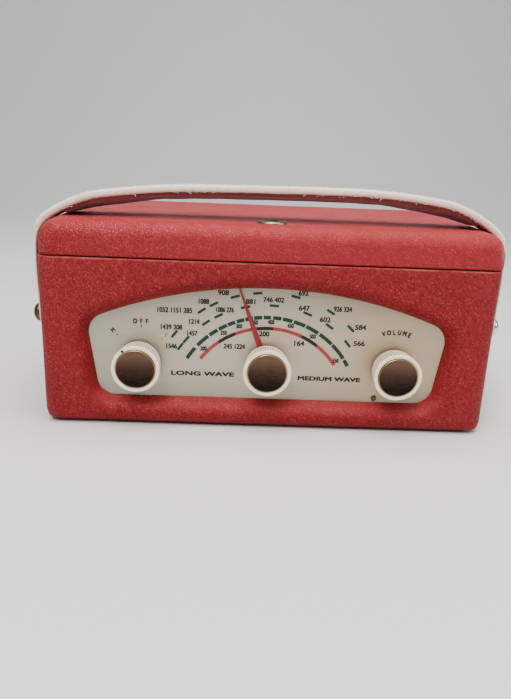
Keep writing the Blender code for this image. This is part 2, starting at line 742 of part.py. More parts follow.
def make_hinge(side):
    """One butt hinge on the base end: a body leaf with its pin, and the lid leaf, returned."""
    name = "left" if side < 0 else "right"
    middle, half, radius = side * HINGE_PLACE, 13 * MM, 1.7 * MM
    inner, outer = BACK_FACE + GAP, BACK_FACE + 1.3 * MM
    clear, tab_reach = radius + GAP, 1.0 * MM
    third = half / 3

    def on_axis(start, end):
        return [(middle + place, HINGE_AXIS, HINGE_HEIGHT) for place in (start, end)]

    def leaf(label, near, far):
        low, high = sorted((HINGE_HEIGHT + near, HINGE_HEIGHT + far))
        return box(f"{label}_{name}", (middle - half, inner, low), (middle + half, outer, high), "steel")

    def add_knuckle(piece, label, start, end, toward):
        barrel = cylinder(f"{label}_{name}", *on_axis(start, end), radius, sides=14)
        low, high = sorted((HINGE_HEIGHT + toward * tab_reach, HINGE_HEIGHT + toward * 2.4 * MM))
        tab = box(f"{label}_tab_{name}", (middle + start, inner, low), (middle + end, outer, high))
        join(piece, barrel, tab)

    body_leaf = leaf("hinge_body_leaf", -clear, -13 * MM)
    add_knuckle(body_leaf, "knuckle_a", -half, -third - GAP, -1)
    add_knuckle(body_leaf, "knuckle_b", third + GAP, half, -1)
    pin = cylinder(f"hinge_pin_{name}", *on_axis(MM - half, half - MM), 0.8 * MM, sides=10)
    join(body_leaf, pin)
    lid_leaf = leaf("hinge_lid_leaf", clear, 10 * MM)
    add_knuckle(lid_leaf, "knuckle_c", -third + GAP, third - GAP, 1)
    bore = cylinder(f"hinge_bore_{name}", *on_axis(-half, half), 1.1 * MM, sides=10)
    cut(lid_leaf, bore)
    return lid_leaf


def make_catch(lid_axis):
    """A coin-slotted catch through the lid, with a tongue that turns under a keeper."""
    head = in_mm([(0, 1.1), (5.4, 1.0), (6.1, 0.4), (6.1, -4), (2.5, -4), (2.5, -27.8), (0, -27.8)])
    place = Vector((0, CATCH_Y, CASE_TOP))
    button = turned("catch_button", head, place, (0, 0, 1), "brass", 24)
    slot = box("coin_slot", (-10 * MM, -1.0 * MM, -0.5 * MM), (10 * MM, 1.0 * MM, 5 * MM))
    slot.location = place
    slot.rotation_euler = (0, 0, radians(35))
    cut(button, slot)
    low = Vector((-2.9 * MM, CATCH_Y - 3.4 * MM, TONGUE_HEIGHT))
    tongue = box("catch_tongue", low, low + Vector((10.9 * MM, 6.8 * MM, 1.5 * MM)), "steel")
    low = (0, CATCH_Y, 80 * MM)
    cut(tongue, cylinder("tongue_hole", low, (0, CATCH_Y, 90 * MM), 2.8 * MM))
    wall = behind_dial(COVER + GAP + DIAL_BOARD) + GAP
    low, high = (-9 * MM, wall, KEEPER_HEIGHT), (9 * MM, wall + 1.2 * MM, KEEPER_TOP)
    keeper = box("catch_keeper", low, high, "steel")
    high = (9 * MM, CATCH_Y - 4.2 * MM, KEEPER_HEIGHT + 1.2 * MM)
    shelf = box("keeper_shelf", low, high)
    join(keeper, shelf)
    axis = pivot("catch_axis", place)
    hang(axis, button, tongue)
    hang(lid_axis, axis)


STRAP_ARCS = ((4000, 0.54, 1), (373.4, 8.41, 4), (66, 24.8, 5), (14, 55.25, 7), (60, 3.0, 1))


def strap_line():
    """Points down the middle of the right half of the strap, as x, z and the outward angle.

    The strap is a chain of tangent arcs, flat over the top and tight round the lid's end, and
    a straight run down to the stud.
    """
    x, z, turn = 0.0, STRAP_APEX, 0.0
    points = [(0.0, z, 0.0)]
    for radius, angle, steps in STRAP_ARCS:
        for _ in range(steps):
            step = radians(angle) / steps
            x += radius * MM * (sin(turn + step) - sin(turn))
            z -= radius * MM * (cos(turn) - cos(turn + step))
            turn += step
            points.append((x, z, turn))
    run = z - STUD_HEIGHT
    for part in (0.35, 0.7, 1):
        points.append((x + run * part * cos(turn), z - run * part, turn))
    foot = points[-1][0]
    for angle in (30, 55, 75):
        points.append((foot, STUD_HEIGHT - STRAP_END_RADIUS * sin(radians(angle)), pi / 2))
    return points


def strap_width(z):
    """Full width over the lid, narrowing to a round end about the stud."""
    below = STUD_HEIGHT - z
    if below > 0:
        return 2 * sqrt(STRAP_END_RADIUS**2 - below**2)
    share = min(1, -below / (30 * MM))
    return 2 * STRAP_END_RADIUS + (STRAP_WIDTH - 2 * STRAP_END_RADIUS) * share


def strap_section(place, width, outer, inner, round_off):
    """Corners across the strap, between two offsets from its middle line."""
    x, z, turn = place
    end, fade = STRAP_FLAT
    tilt = STRAP_LEAN * min(1, max(0, (end - abs(x)) / fade))
    across = Vector((0, cos(tilt), -sin(tilt)))
    out = Vector((sin(turn), 0, cos(turn)))
    out = (out - across * out.dot(across)).normalized()
    lean = max(0, z - STUD_HEIGHT) * sin(STRAP_LEAN)
    climb = STRAP_SLOPE * x * (1 - min(1, abs(x) / STRAP_FOOT) ** 4)
    middle = Vector((x, STUD_Y + lean, z + climb))
    half, round_off = width / 2, min(round_off, (outer - inner) * 0.35)
    if not round_off:
        corners = ((-half, inner), (-half, outer), (half, outer), (half, inner))
    else:
        corners = (
            (-half, inner + round_off),
            (-half, outer - round_off),
            (-half + round_off, outer),
            (half - round_off, outer),
            (half, outer - round_off),
            (half, inner + round_off),
            (half - round_off, inner),
            (-half + round_off, inner),
        )
    return [middle + across * along + out * away for along, away in corners]


def strap_sections(is_lining):
    right = strap_line()
    line = [(-x, z, -turn) for x, z, turn in right[:0:-1]] + right
    padding_end, fade = STRAP_PADDING
    for x, z, turn in line:
        fullness = min(1, max(0, (z - padding_end) / fade))
        thick = STRAP_THIN + (STRAP_THICK - STRAP_THIN) * fullness
        inner = -thick / 2
        place = (x, z, turn)
        if not is_lining:
            yield strap_section(place, strap_width(z), inner + thick, inner, 1.2 * MM)
        elif abs(x) < LINING_REACH:
            yield strap_section(place, LINING_WIDTH, inner - GAP, inner - GAP - LINING, 0)


def make_handle():
    """The cream strap, its red lining and the two studs that it turns on."""
    strap = loft("handle_strap", list(strap_sections(False)), "cream_vinyl")
    lining = loft("handle_lining", list(strap_sections(True)), "lining_cloth")
    cut(strap, stud_hole("strap_hole"))
    axis = pivot("handle_axis", (0, STUD_Y, STUD_HEIGHT))
    hang(axis, smooth(strap, 40), smooth(lining, 40))
    dome = [(0, 4.2), (2.2, 4.0), (4.0, 3.2), (5.1, 1.9), (5.2, 1.1), (4.9, 0), (2.0, 0)]
    dome += [(2.0, -12), (0, -12)]
    for side in (-1, 1):
        place = (side * (STRAP_FOOT + STRAP_THIN / 2 + GAP), STUD_Y, STUD_HEIGHT)
        name = f"handle_stud_{'left' if side < 0 else 'right'}"
        turned(name, in_mm(dome), place, (side, 0, 0), "bright_metal", 20)


def build():
    make_case()
    make_grille()
    make_dial_panel()
    make_knob("wave_switch", -1)
    tuning_axis = make_knob("tuning", 0)
    make_knob("volume", 1)
    make_pointer(tuning_axis)
    make_chassis()
    make_tuning_capacitor(tuning_axis)
    make_aerial()
    make_circuit()
    make_speaker()
    make_battery()
    lid_axis = make_lid()
    make_catch(lid_axis)
    make_handle()


build()
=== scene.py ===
"""Looks of a leathercloth portable radio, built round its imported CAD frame.

The radio lies on its speaker side. +X runs to the right along the dial, +Y from the dial to the
base end with the feet, and +Z up to the opening back cover, called the lid here.
"""

import json
import random
from math import acos, atan2, cos, hypot, pi, radians, sin, sqrt

import bmesh
import bpy
from mathutils import Matrix, Vector, noise


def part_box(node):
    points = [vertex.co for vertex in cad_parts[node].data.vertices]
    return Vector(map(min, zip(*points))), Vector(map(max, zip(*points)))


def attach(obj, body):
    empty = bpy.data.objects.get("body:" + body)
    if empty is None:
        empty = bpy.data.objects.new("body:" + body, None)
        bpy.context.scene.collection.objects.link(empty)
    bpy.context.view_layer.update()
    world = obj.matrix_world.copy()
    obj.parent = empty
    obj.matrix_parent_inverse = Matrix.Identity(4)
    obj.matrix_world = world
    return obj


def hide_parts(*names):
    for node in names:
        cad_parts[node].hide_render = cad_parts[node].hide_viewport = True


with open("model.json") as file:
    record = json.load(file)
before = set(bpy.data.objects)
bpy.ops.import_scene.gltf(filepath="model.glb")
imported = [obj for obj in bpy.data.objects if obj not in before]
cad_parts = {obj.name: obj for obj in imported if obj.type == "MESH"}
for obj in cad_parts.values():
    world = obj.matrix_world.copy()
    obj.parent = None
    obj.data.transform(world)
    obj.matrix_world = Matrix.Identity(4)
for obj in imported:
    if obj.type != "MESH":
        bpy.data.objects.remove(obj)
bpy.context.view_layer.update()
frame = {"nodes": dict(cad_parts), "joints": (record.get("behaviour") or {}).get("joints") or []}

JOINTS = {joint["name"]: joint for joint in frame["joints"]}
MM = 0.001

# Places taken from the frame
CASE_LOW, CASE_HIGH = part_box("body_leathercloth")
LID_LOW, LID_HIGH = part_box("lid_leathercloth")
PANEL_LOW, PANEL_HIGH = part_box("dial_panel")
AXIS_HEIGHT = JOINTS["tuning_turn"]["pos_m"][2]
AXIS_PITCH = JOINTS["volume_turn"]["pos_m"][0]
KNOB_FRONT, KNOB_BACK = (corner.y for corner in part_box("tuning_knob"))
DIAL_FRONT = PANEL_LOW.y
STUD_Y, STUD_HEIGHT = JOINTS["handle_swing"]["pos_m"][1:]
CATCH_Y = JOINTS["catch_turn"]["pos_m"][1]
CASE_FRONT = CASE_LOW.y

COVER = 1.2 * MM  # the leathercloth with its backing
CASE_RADII = (8 * MM, 6 * MM, 6 * MM)  # of the uprights, and the edges along Y and X
LID_RADII = (8 * MM, 12 * MM, 8 * MM)
STUD_PIN_RADIUS = 2.4 * MM
HINGE_SCREW_OFFSET = 8.5 * MM
# Centre of a rubbed patch on the lid's front right corner, painted lighter as a painted highlight
RUBBED_HIGHLIGHT_SPOT = (LID_HIGH.x - 2.2 * MM, LID_LOW.y + 3.0 * MM, LID_HIGH.z - 8.5 * MM)

# Window of the dial, as in the CAD part, with a broader roll round it
WINDOW_TOP = PANEL_HIGH.z - 5 * MM
LOW_CORNER = (83.2 * MM, 25.5 * MM, 10 * MM)
HIGH_CORNER = (86.0 * MM, 51.2 * MM, 11 * MM)
ROLL_REACH = 8.8 * MM
ROLL_DEPTH = 7.0 * MM
ROLL_POWER = 2.8  # how late the roll turns in: 1 would be a straight slope

# Knobs: the grip is fluted from behind its front rim nearly to its back
GRIP_FRONT_RADIUS, GRIP_BACK_RADIUS = 12.9 * MM, 12.0 * MM
GRIP_START, GRIP_END = 1.7 * MM, 1.6 * MM  # from the front and from the back
FLUTES, FLUTE_DEPTH, STEPS_PER_FLUTE = 56, 0.62 * MM, 6

# Printing, with its scales struck from one point on the dial's middle line
PRINT_THICKNESS = 0.06 * MM
SCALE_CENTRE = 11.2 * MM
GREEN_RING = (51.3 * MM, 2.05 * MM)  # radius and width
RED_RING = (45.2 * MM, 1.9 * MM)
INNER_TICK_RADIUS, OUTER_TICK_RADIUS = 58.0 * MM, 64.8 * MM

# Strap, as in the CAD part
STRAP_APEX = 127 * MM
STRAP_SLOPE = 0.011
STRAP_ARCS = ((4000, 0.54, 4), (373.4, 8.41, 10), (66, 24.8, 16), (14, 55.25, 20), (60, 3.0, 3))
STRAP_WIDTH = 22 * MM
STRAP_LEAN = radians(10)
STRAP_FOOT = 123.4 * MM
STRAP_END_RADIUS = 7 * MM
STRAP_THICK = 4.7 * MM
STRAP_THIN = 1.4 * MM
STRAP_PADDING = (97 * MM, 10 * MM)  # height where the padding starts, and the climb to all of it
STRAP_FLAT = (120 * MM, 24 * MM)  # distance out where the lean ends, and the run that it fades over
STRAP_TAPER = 30 * MM
LINING_END = 112 * MM
STITCH_PITCH = 3.6 * MM


# ---------------------------------------------------------------- shader helpers


class Paint:
    """A node material under construction."""

    def __init__(self, name, colour=(0.5, 0.5, 0.5), roughness=0.5, metallic=0.0, **sockets):
        self.material = bpy.data.materials.new(name)
        self.material.use_nodes = True
        self.tree = self.material.node_tree
        self.shader = self.tree.nodes["Principled BSDF"]
        self.set("Base Color", (*colour, 1))
        self.set("Roughness", roughness)
        self.set("Metallic", metallic)
        for socket, value in sockets.items():
            self.set(socket.replace("_", " "), value)
        self.coordinates = self.node("ShaderNodeTexCoord")
        self.normal = None

    def set(self, socket, value):
        self.shader.inputs[socket].default_value = value

    def node(self, kind, inputs=None, **settings):
        made = self.tree.nodes.new(kind)
        for key, value in settings.items():
            setattr(made, key, value)
        for key, value in (inputs or {}).items():
            if hasattr(value, "is_linked"):
                self.tree.links.new(value, made.inputs[key])
            else:
                made.inputs[key].default_value = value
        return made

    def place(self, scale=(1, 1, 1), turn=(0, 0, 0), source="Object"):
        inputs = {"Vector": self.coordinates.outputs[source], "Scale": scale, "Rotation": turn}
        return self.node("ShaderNodeMapping", inputs).outputs["Vector"]

    def noise(self, scale, detail=3.0, vector=None, roughness=0.55, distortion=0.0):
        inputs = {"Scale": scale, "Detail": detail, "Roughness": roughness}
        inputs["Distortion"] = distortion
        inputs["Vector"] = vector or self.coordinates.outputs["Object"]
        return self.node("ShaderNodeTexNoise", inputs).outputs["Fac"]

    def cells(self, scale, feature="DISTANCE_TO_EDGE", vector=None):
        inputs = {"Scale": scale, "Vector": vector or self.coordinates.outputs["Object"]}
        return self.node("ShaderNodeTexVoronoi", inputs, feature=feature).outputs["Distance"]

    def ramp(self, factor, *stops):
        """A colour ramp from (position, colour or grey) stops."""
        made = self.node("ShaderNodeValToRGB", {"Fac": factor})
        band = made.color_ramp
        while len(band.elements) < len(stops):
            band.elements.new(0.5)
        for element, (position, colour) in zip(band.elements, stops):
            element.position = position
            colour = colour if isinstance(colour, tuple) else (colour,) * 3
            element.color = (*colour, 1)
        return made.outputs["Color"]

    def mix(self, factor, first, second, how="MIX"):
        made = self.node("ShaderNodeMix", data_type="RGBA", blend_type=how)
        for index, value in ((0, factor), (6, first), (7, second)):
            if hasattr(value, "is_linked"):
                self.tree.links.new(value, made.inputs[index])
            elif isinstance(value, tuple):
                made.inputs[index].default_value = (*value, 1)
            else:
                made.inputs[index].default_value = value
        return made.outputs[2]

    def math(self, how, first, second=0.0):
        return self.node("ShaderNodeMath", {0: first, 1: second}, operation=how).outputs[0]

    def axis(self, letter, source="Object"):
        vector = self.coordinates.outputs[source]
        return self.node("ShaderNodeSeparateXYZ", {0: vector}).outputs[letter]

    def between(self, value, low, high, to_low=0.0, to_high=1.0):
        """A value mapped from one range to another, and held at its ends."""
        inputs = {0: value, 1: low, 2: high, 3: to_low, 4: to_high}
        return self.node("ShaderNodeMapRange", inputs).outputs[0]

    def vector(self, how, first, second=(0.0, 0.0, 0.0)):
        return self.node("ShaderNodeVectorMath", {0: first, 1: second}, operation=how)

    def dirt(self, scale, clean, dirty, amount, detail=5.0, roughness=0.7):
        """Patches of dirt or wear: none where the noise is under clean, and an amount over dirty."""
        return self.ramp(self.noise(scale, detail, roughness=roughness), (clean, 0.0), (dirty, amount))

    def colour(self, socket):
        self.tree.links.new(socket, self.shader.inputs["Base Color"])

    def rough(self, socket):
        self.tree.links.new(socket, self.shader.inputs["Roughness"])

    def bump(self, height, strength, distance):
        """Adds a bump on top of those before it."""
        inputs = {"Height": height, "Strength": strength, "Distance": distance}
        if self.normal:
            inputs["Normal"] = self.normal
        self.normal = self.node("ShaderNodeBump", inputs).outputs["Normal"]
        self.tree.links.new(self.normal, self.shader.inputs["Normal"])


# ---------------------------------------------------------------- materials


def leathercloth():
    """Red cloth-backed vinyl with a pressed goatskin grain, with painted light: lighter where it faces up and
    on the lid, painted highlights on the grain's crests, along the seam and at a rubbed corner, and painted
    shade in the grain's valleys.
    """
    pebbles_per_metre, pebble_height = 1150.0, 0.34 * MM
    paint = Paint("red_leathercloth", roughness=0.5, Specular_IOR_Level=0.5)
    everywhere = paint.coordinates.outputs["Object"]
    warp = paint.node("ShaderNodeTexNoise", {"Scale": 120.0, "Detail": 2.0, "Vector": everywhere})
    bent = paint.vector("SCALE", warp.outputs["Color"])
    bent.inputs["Scale"].default_value = 2.6 * MM
    leaning = {"Vector": paint.place(turn=(0, radians(-42), radians(12))), "Scale": (0.50, 1.0, 1.0)}
    leaning = paint.node("ShaderNodeMapping", leaning).outputs["Vector"]
    where = paint.vector("ADD", leaning, bent.outputs[0]).outputs[0]
    edges = paint.cells(pebbles_per_metre, vector=where)
    pebbles = paint.ramp(edges, (0.0, 0.0), (0.20, 0.7), (0.55, 1.0))
    each = paint.node("ShaderNodeTexVoronoi", {"Scale": pebbles_per_metre, "Vector": where}, feature="F1")
    shine = paint.node("ShaderNodeSeparateColor", {0: each.outputs["Color"]}).outputs[0]
    highlight_dots = paint.math("MULTIPLY", paint.ramp(shine, (0.35, 0.0), (1.0, 1.0)), pebbles)
    patches = paint.ramp(paint.noise(60.0, 3.0), (0.30, 0.72), (0.60, 1.0))
    grain = paint.math("MULTIPLY", pebbles, patches)
    fine = paint.noise(2300.0, 2.0)
    broad = paint.noise(13.0, 4.0, distortion=0.4)
    red = paint.mix(broad, (0.275, 0.0070, 0.0090), (0.345, 0.0120, 0.0140))
    # Painted shade: darker red in the grain's valleys, which also set the roughness
    valley = paint.ramp(grain, (0.04, 0.92), (0.36, 0.0))
    red = paint.mix(valley, red, (0.135, 0.0035, 0.005))
    # Painted light: lighter red where the surface faces up
    up = paint.axis("Z", "Normal")
    red = paint.mix(paint.ramp(up, (0.05, 0.0), (0.75, 0.60)), red, (0.44, 0.060, 0.060))
    height = paint.axis("Z")
    # Painted light: the lid's red is lighter, less so towards its left end
    lid = paint.ramp(paint.math("MULTIPLY", height, 5.0), (0.462, 0.0), (0.472, 0.42))
    lid = paint.math("MULTIPLY", lid, paint.between(paint.axis("X"), -0.12, -0.02, 0.35))
    red = paint.mix(lid, red, (0.50, 0.048, 0.052))
    # Painted highlight: light flecks on the grain's crests
    crest = paint.math("MULTIPLY", highlight_dots, paint.ramp(fine, (0.35, 0.12), (0.6, 0.60)))
    red = paint.mix(crest, red, (0.64, 0.12, 0.115))
    grime = paint.dirt(30.0, 0.60, 0.80, 0.35, 6.0)
    red = paint.mix(grime, red, (0.14, 0.010, 0.012))
    # Painted highlight: a thin lighter line along the seam under the lid, broken into patches
    seam = paint.math("ABSOLUTE", paint.math("SUBTRACT", height, CASE_HIGH.z - 0.5 * MM))
    wear_and_highlight = paint.ramp(paint.math("MULTIPLY", seam, 1000.0), (0.15, 0.6), (0.6, 0.0))
    wear_and_highlight = paint.math("MULTIPLY", wear_and_highlight, paint.ramp(paint.noise(140.0), (0.38, 0.1), (0.62, 0.9)))
    red = paint.mix(wear_and_highlight, red, (0.55, 0.18, 0.17))
    # Wear and painted highlight: a lighter patch round the rubbed spot at the lid's corner
    away = paint.vector("SUBTRACT", everywhere, RUBBED_HIGHLIGHT_SPOT).outputs[0]
    away = paint.vector("MULTIPLY", away, (1.0, 0.8, 0.42)).outputs[0]
    away = paint.vector("LENGTH", away).outputs["Value"]
    away = paint.math("ADD", paint.math("MULTIPLY", away, 1000.0), paint.noise(500.0))
    rubbed_highlight = paint.ramp(paint.math("MULTIPLY", away, 0.25), (0.30, 0.52), (1.0, 0.0))
    red = paint.mix(rubbed_highlight, red, (0.58, 0.33, 0.34))
    paint.colour(red)
    rough = paint.ramp(paint.noise(38.0, 3.0), (0.3, 0.36), (0.7, 0.50))
    paint.rough(paint.mix(valley, rough, (0.72, 0.72, 0.72)))
    paint.bump(broad, 0.5, 0.9 * MM)
    paint.bump(grain, 0.9, pebble_height)
    paint.bump(fine, 0.3, 0.05 * MM)
    return paint.material


def cream_vinyl():
    """Strap covering: cream with fine crosswise creases and a little grime, and painted pinkish shade where
    it faces down.
    """
    paint = Paint("cream_strap_vinyl", roughness=0.5, Specular_IOR_Level=0.4)
    strip = paint.place(scale=(1.0, 0.05, 1.0), source="UV")
    creases = paint.noise(520.0, 3.0, strip, 0.6, 0.2)
    blotches = paint.noise(60.0, 4.0)
    # Painted shade: darker and pinker where the strap faces down
    under = paint.ramp(paint.axis("Z", "Normal"), (0.0, 0.75), (0.45, 0.0))
    cream = paint.mix(blotches, (0.86, 0.70, 0.60), (0.97, 0.83, 0.74))
    cream = paint.mix(under, cream, (0.74, 0.52, 0.43))
    cream = paint.mix(paint.ramp(creases, (0.28, 0.55), (0.46, 0.0)), cream, (0.45, 0.33, 0.26))
    dirt = paint.dirt(210.0, 0.60, 0.74, 0.5)
    paint.colour(paint.mix(dirt, cream, (0.36, 0.22, 0.18)))
    paint.rough(paint.ramp(blotches, (0.3, 0.42), (0.7, 0.62)))
    paint.bump(creases, 0.5, 0.28 * MM)
    paint.bump(paint.noise(1800.0, 2.0), 0.25, 0.05 * MM)
    return paint.material


def lining():
    """Maroon backing cloth on the underside of the strap."""
    paint = Paint("maroon_lining", roughness=0.85, Sheen_Weight=0.3)
    weave = paint.cells(1500.0, "F1")
    threads = paint.noise(900.0, 3.0, paint.place(scale=(1.0, 0.04, 1.0), source="UV"))
    red = paint.mix(paint.noise(160.0, 4.0), (0.10, 0.008, 0.013), (0.24, 0.022, 0.030))
    paint.colour(paint.mix(paint.ramp(threads, (0.55, 0.0), (0.7, 0.5)), red, (0.42, 0.14, 0.12)))
    paint.bump(weave, 0.6, 0.15 * MM)
    return paint.material


def dial_metal():
    """Silvered dial plate with a satin sheen, mottled with age, and darkened at its top and bottom by painted
    shade.
    """
    paint = Paint("dial_silvering", roughness=0.34, metallic=0.55)
    warm = paint.between(paint.axis("X"), -0.09, 0.10)
    warm = paint.math("ADD", warm, paint.math("MULTIPLY", paint.noise(16.0, 3.0), 0.35))
    greenish, silver, yellowed = (0.46, 0.44, 0.36), (0.55, 0.49, 0.40), (0.52, 0.43, 0.31)
    tone = paint.ramp(warm, (0.15, greenish), (0.6, silver), (1.1, yellowed))
    # Painted shade: darker at the plate's top, in the shadow of the window's lip, and towards its bottom
    height = paint.math("MULTIPLY", paint.axis("Z"), 10.0)
    painted_shade = paint.ramp(height, (0.15, 0.40), (0.30, 0.12), (0.50, 0.0), (0.62, 0.12), (0.78, 0.50))
    tone = paint.mix(painted_shade, tone, (0.24, 0.22, 0.17))
    speck = paint.dirt(520.0, 0.66, 0.80, 0.30, roughness=0.8)
    paint.colour(paint.mix(speck, tone, (0.30, 0.25, 0.20)))
    brushed = paint.noise(900.0, 3.0, paint.place(scale=(0.03, 1.0, 1.0)))
    paint.rough(paint.ramp(brushed, (0.3, 0.30), (0.7, 0.44)))
    paint.bump(paint.noise(26.0, 2.0), 0.12, 0.4 * MM)
    paint.bump(brushed, 0.08, 0.03 * MM)
    return paint.material


def cream_plastic():
    """Moulded cream knobs, yellowed a little, with grime and painted shade in the flutes."""
    paint = Paint("cream_knob_plastic", roughness=0.3, Subsurface_Weight=0.08, Coat_Weight=0.15)
    paint.set("Subsurface Radius", (4 * MM, 3 * MM, 2 * MM))
    tone = paint.mix(paint.noise(70.0, 4.0), (0.88, 0.75, 0.58), (0.97, 0.87, 0.72))
    front, back = KNOB_FRONT + GRIP_START, KNOB_BACK - GRIP_END
    x, y, z = (paint.axis(letter) for letter in "XYZ")
    nearest = {0: x, 1: AXIS_PITCH / 2, 2: -AXIS_PITCH / 2}
    aside = paint.node("ShaderNodeMath", nearest, operation="WRAP").outputs[0]
    above = paint.math("SUBTRACT", z, AXIS_HEIGHT)
    radius = paint.math("ADD", paint.math("MULTIPLY", aside, aside), paint.math("MULTIPLY", above, above))
    radius = paint.math("POWER", radius, 0.5)
    crest = paint.between(y, front, back, GRIP_FRONT_RADIUS, GRIP_BACK_RADIUS)
    depth = paint.math("MULTIPLY", paint.math("SUBTRACT", crest, radius), 1000.0)
    # Grime and painted shade: darker in the flutes behind the front rim
    grooves = paint.ramp(depth, (0.12, 0.0), (0.5, 0.8))
    behind = paint.between(y, front - 0.3 * MM, front + 0.6 * MM)
    tone = paint.mix(paint.math("MULTIPLY", grooves, behind), tone, (0.40, 0.27, 0.17))
    dirt = paint.dirt(380.0, 0.58, 0.75, 0.3)
    paint.colour(paint.mix(dirt, tone, (0.48, 0.36, 0.25)))
    paint.rough(paint.ramp(paint.noise(150.0, 3.0), (0.3, 0.26), (0.7, 0.42)))
    paint.bump(paint.noise(700.0, 2.0), 0.1, 0.04 * MM)
    return paint.material


def copper_disc():
    """Spun copper-brown discs, darker in their lower half as a painted reflection of dark surroundings, and
    with fine scratches.
    """
    paint = Paint("spun_copper", roughness=0.36, metallic=0.9)
    streaks = paint.noise(700.0, 4.0, paint.place(scale=(0.35, 1.0, 1.0), turn=(0, radians(30), 0)))
    blotches = paint.noise(110.0, 5.0, roughness=0.65)
    # Painted reflection: the discs are darker below their middle, as though reflecting dark surroundings
    upper = paint.between(paint.axis("Z"), AXIS_HEIGHT - 9 * MM, AXIS_HEIGHT + 9 * MM)
    upper = paint.math("ADD", upper, paint.math("MULTIPLY", blotches, 0.22))
    dark, brown, copper = (0.026, 0.017, 0.013), (0.075, 0.046, 0.034), (0.17, 0.105, 0.075)
    tone = paint.ramp(upper, (0.22, dark), (0.62, brown), (1.05, copper))
    paint.colour(paint.mix(paint.ramp(streaks, (0.45, 0.0), (0.75, 0.12)), tone, (0.24, 0.165, 0.12)))
    paint.rough(paint.ramp(blotches, (0.3, 0.38), (0.7, 0.50)))
    paint.bump(streaks, 0.05, 0.03 * MM)
    return paint.material


def metal(name, colour, roughness, tarnish=(0.2, 0.17, 0.13), amount=0.4, scale=160.0):
    """Plated or plain metal with patchy tarnish."""
    paint = Paint(name, roughness=roughness, metallic=1.0)
    patches = paint.noise(scale, 5.0, roughness=0.65)
    paint.colour(paint.mix(paint.ramp(patches, (0.45, 0.0), (0.75, amount)), colour, tarnish))
    paint.rough(paint.ramp(patches, (0.35, roughness), (0.75, min(1.0, roughness + 0.25))))
    paint.bump(paint.noise(scale * 6, 2.0), 0.08, 0.04 * MM)
    return paint.material


def enamel(name, colour, roughness=0.35, variation=0.25, scale=220.0):
    """Printed or painted colour with slight wear."""
    paint = Paint(name, roughness=roughness)
    wear_and_highlight = tuple(min(1.0, part * 1.25 + 0.05) for part in colour)
    amount = paint.dirt(scale, 0.45, 0.75, variation, 4.0, 0.55)
    paint.colour(paint.mix(amount, colour, wear_and_highlight))
    paint.rough(paint.ramp(paint.noise(scale / 2, 3.0), (0.3, roughness), (0.7, roughness + 0.15)))
    return paint.material


def plywood():
    """Birch ply, stained in places, with its grain along X."""
    paint = Paint("case_plywood", roughness=0.75)
    grain = paint.noise(210.0, 5.0, paint.place(scale=(0.12, 1.0, 1.0)), 0.6, 0.6)
    tone = paint.ramp(grain, (0.3, (0.34, 0.19, 0.09)), (0.5, (0.52, 0.34, 0.18)), (0.72, (0.62, 0.44, 0.26)))
    stain = paint.dirt(20.0, 0.5, 0.75, 0.35, 3.0, 0.55)
    paint.colour(paint.mix(stain, tone, (0.25, 0.15, 0.08)))
    paint.bump(grain, 0.3, 0.15 * MM)
    return paint.material


def circuit_laminate():
    """Brown paper laminate with copper tracks showing under lacquer."""
    paint = Paint("circuit_laminate", roughness=0.35)
    tracks = paint.ramp(paint.cells(95.0, "F1"), (0.42, 0.0), (0.46, 1.0))
    tone = paint.mix(paint.noise(60.0, 3.0), (0.22, 0.10, 0.04), (0.36, 0.18, 0.07))
    paint.colour(paint.mix(paint.math("MULTIPLY", tracks, 0.6), tone, (0.55, 0.26, 0.10)))
    paint.bump(tracks, 0.4, 0.1 * MM)
    return paint.material


def wound(name, colour, gap, pitch, roughness=0.4):
    """Fine turns of enamelled wire round X."""
    paint = Paint(name, roughness=roughness, metallic=0.3)
    turns = paint.math("SINE", paint.math("MULTIPLY", paint.axis("X"), 2 * pi / pitch))
    paint.colour(paint.mix(paint.ramp(turns, (0.0, 0.0), (0.6, 1.0)), gap, colour))
    paint.bump(turns, 0.6, 0.15 * MM)
    return paint.material


def battery_wrap():
    """Printed wrap in two plain colours, with no wording."""
    paint = Paint("battery_wrap", roughness=0.42)
    low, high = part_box("battery")
    upper = paint.between(paint.axis("Z"), low.z, high.z)
    blue, yellow = (0.05, 0.09, 0.22), (0.60, 0.47, 0.13)
    tone = paint.ramp(upper, (0.0, blue), (0.60, blue), (0.61, yellow))
    scuffs = paint.dirt(160.0, 0.58, 0.75, 0.35)
    paint.colour(paint.mix(scuffs, tone, (0.42, 0.38, 0.30)))
    paint.bump(paint.noise(70.0, 3.0), 0.2, 0.4 * MM)
    return paint.material


def woven(name, dark, light, scale):
    """Plain weave of two colours."""
    paint = Paint(name, roughness=0.9)
    over = paint.node("ShaderNodeTexChecker", {"Scale": scale, "Vector": paint.place()}).outputs["Fac"]
    paint.colour(paint.mix(over, dark, light))
    paint.bump(over, 0.5, 0.2 * MM)
    return paint.material


def rubber():
    paint = Paint("black_rubber", roughness=0.8)
    paint.colour(paint.mix(paint.noise(120.0, 4.0), (0.014, 0.014, 0.014), (0.05, 0.048, 0.045)))
    paint.bump(paint.noise(900.0, 2.0), 0.3, 0.08 * MM)
    return paint.material


LEATHERCLOTH = leathercloth()
CREAM_VINYL = cream_vinyl()
LINING = lining()
DIAL_METAL = dial_metal()
CREAM_PLASTIC = cream_plastic()
COPPER = copper_disc()
BRASS = metal("worn_brass", (0.55, 0.40, 0.22), 0.30, amount=0.7)
CHROME = metal("chrome", (0.80, 0.79, 0.76), 0.14, amount=0.25)
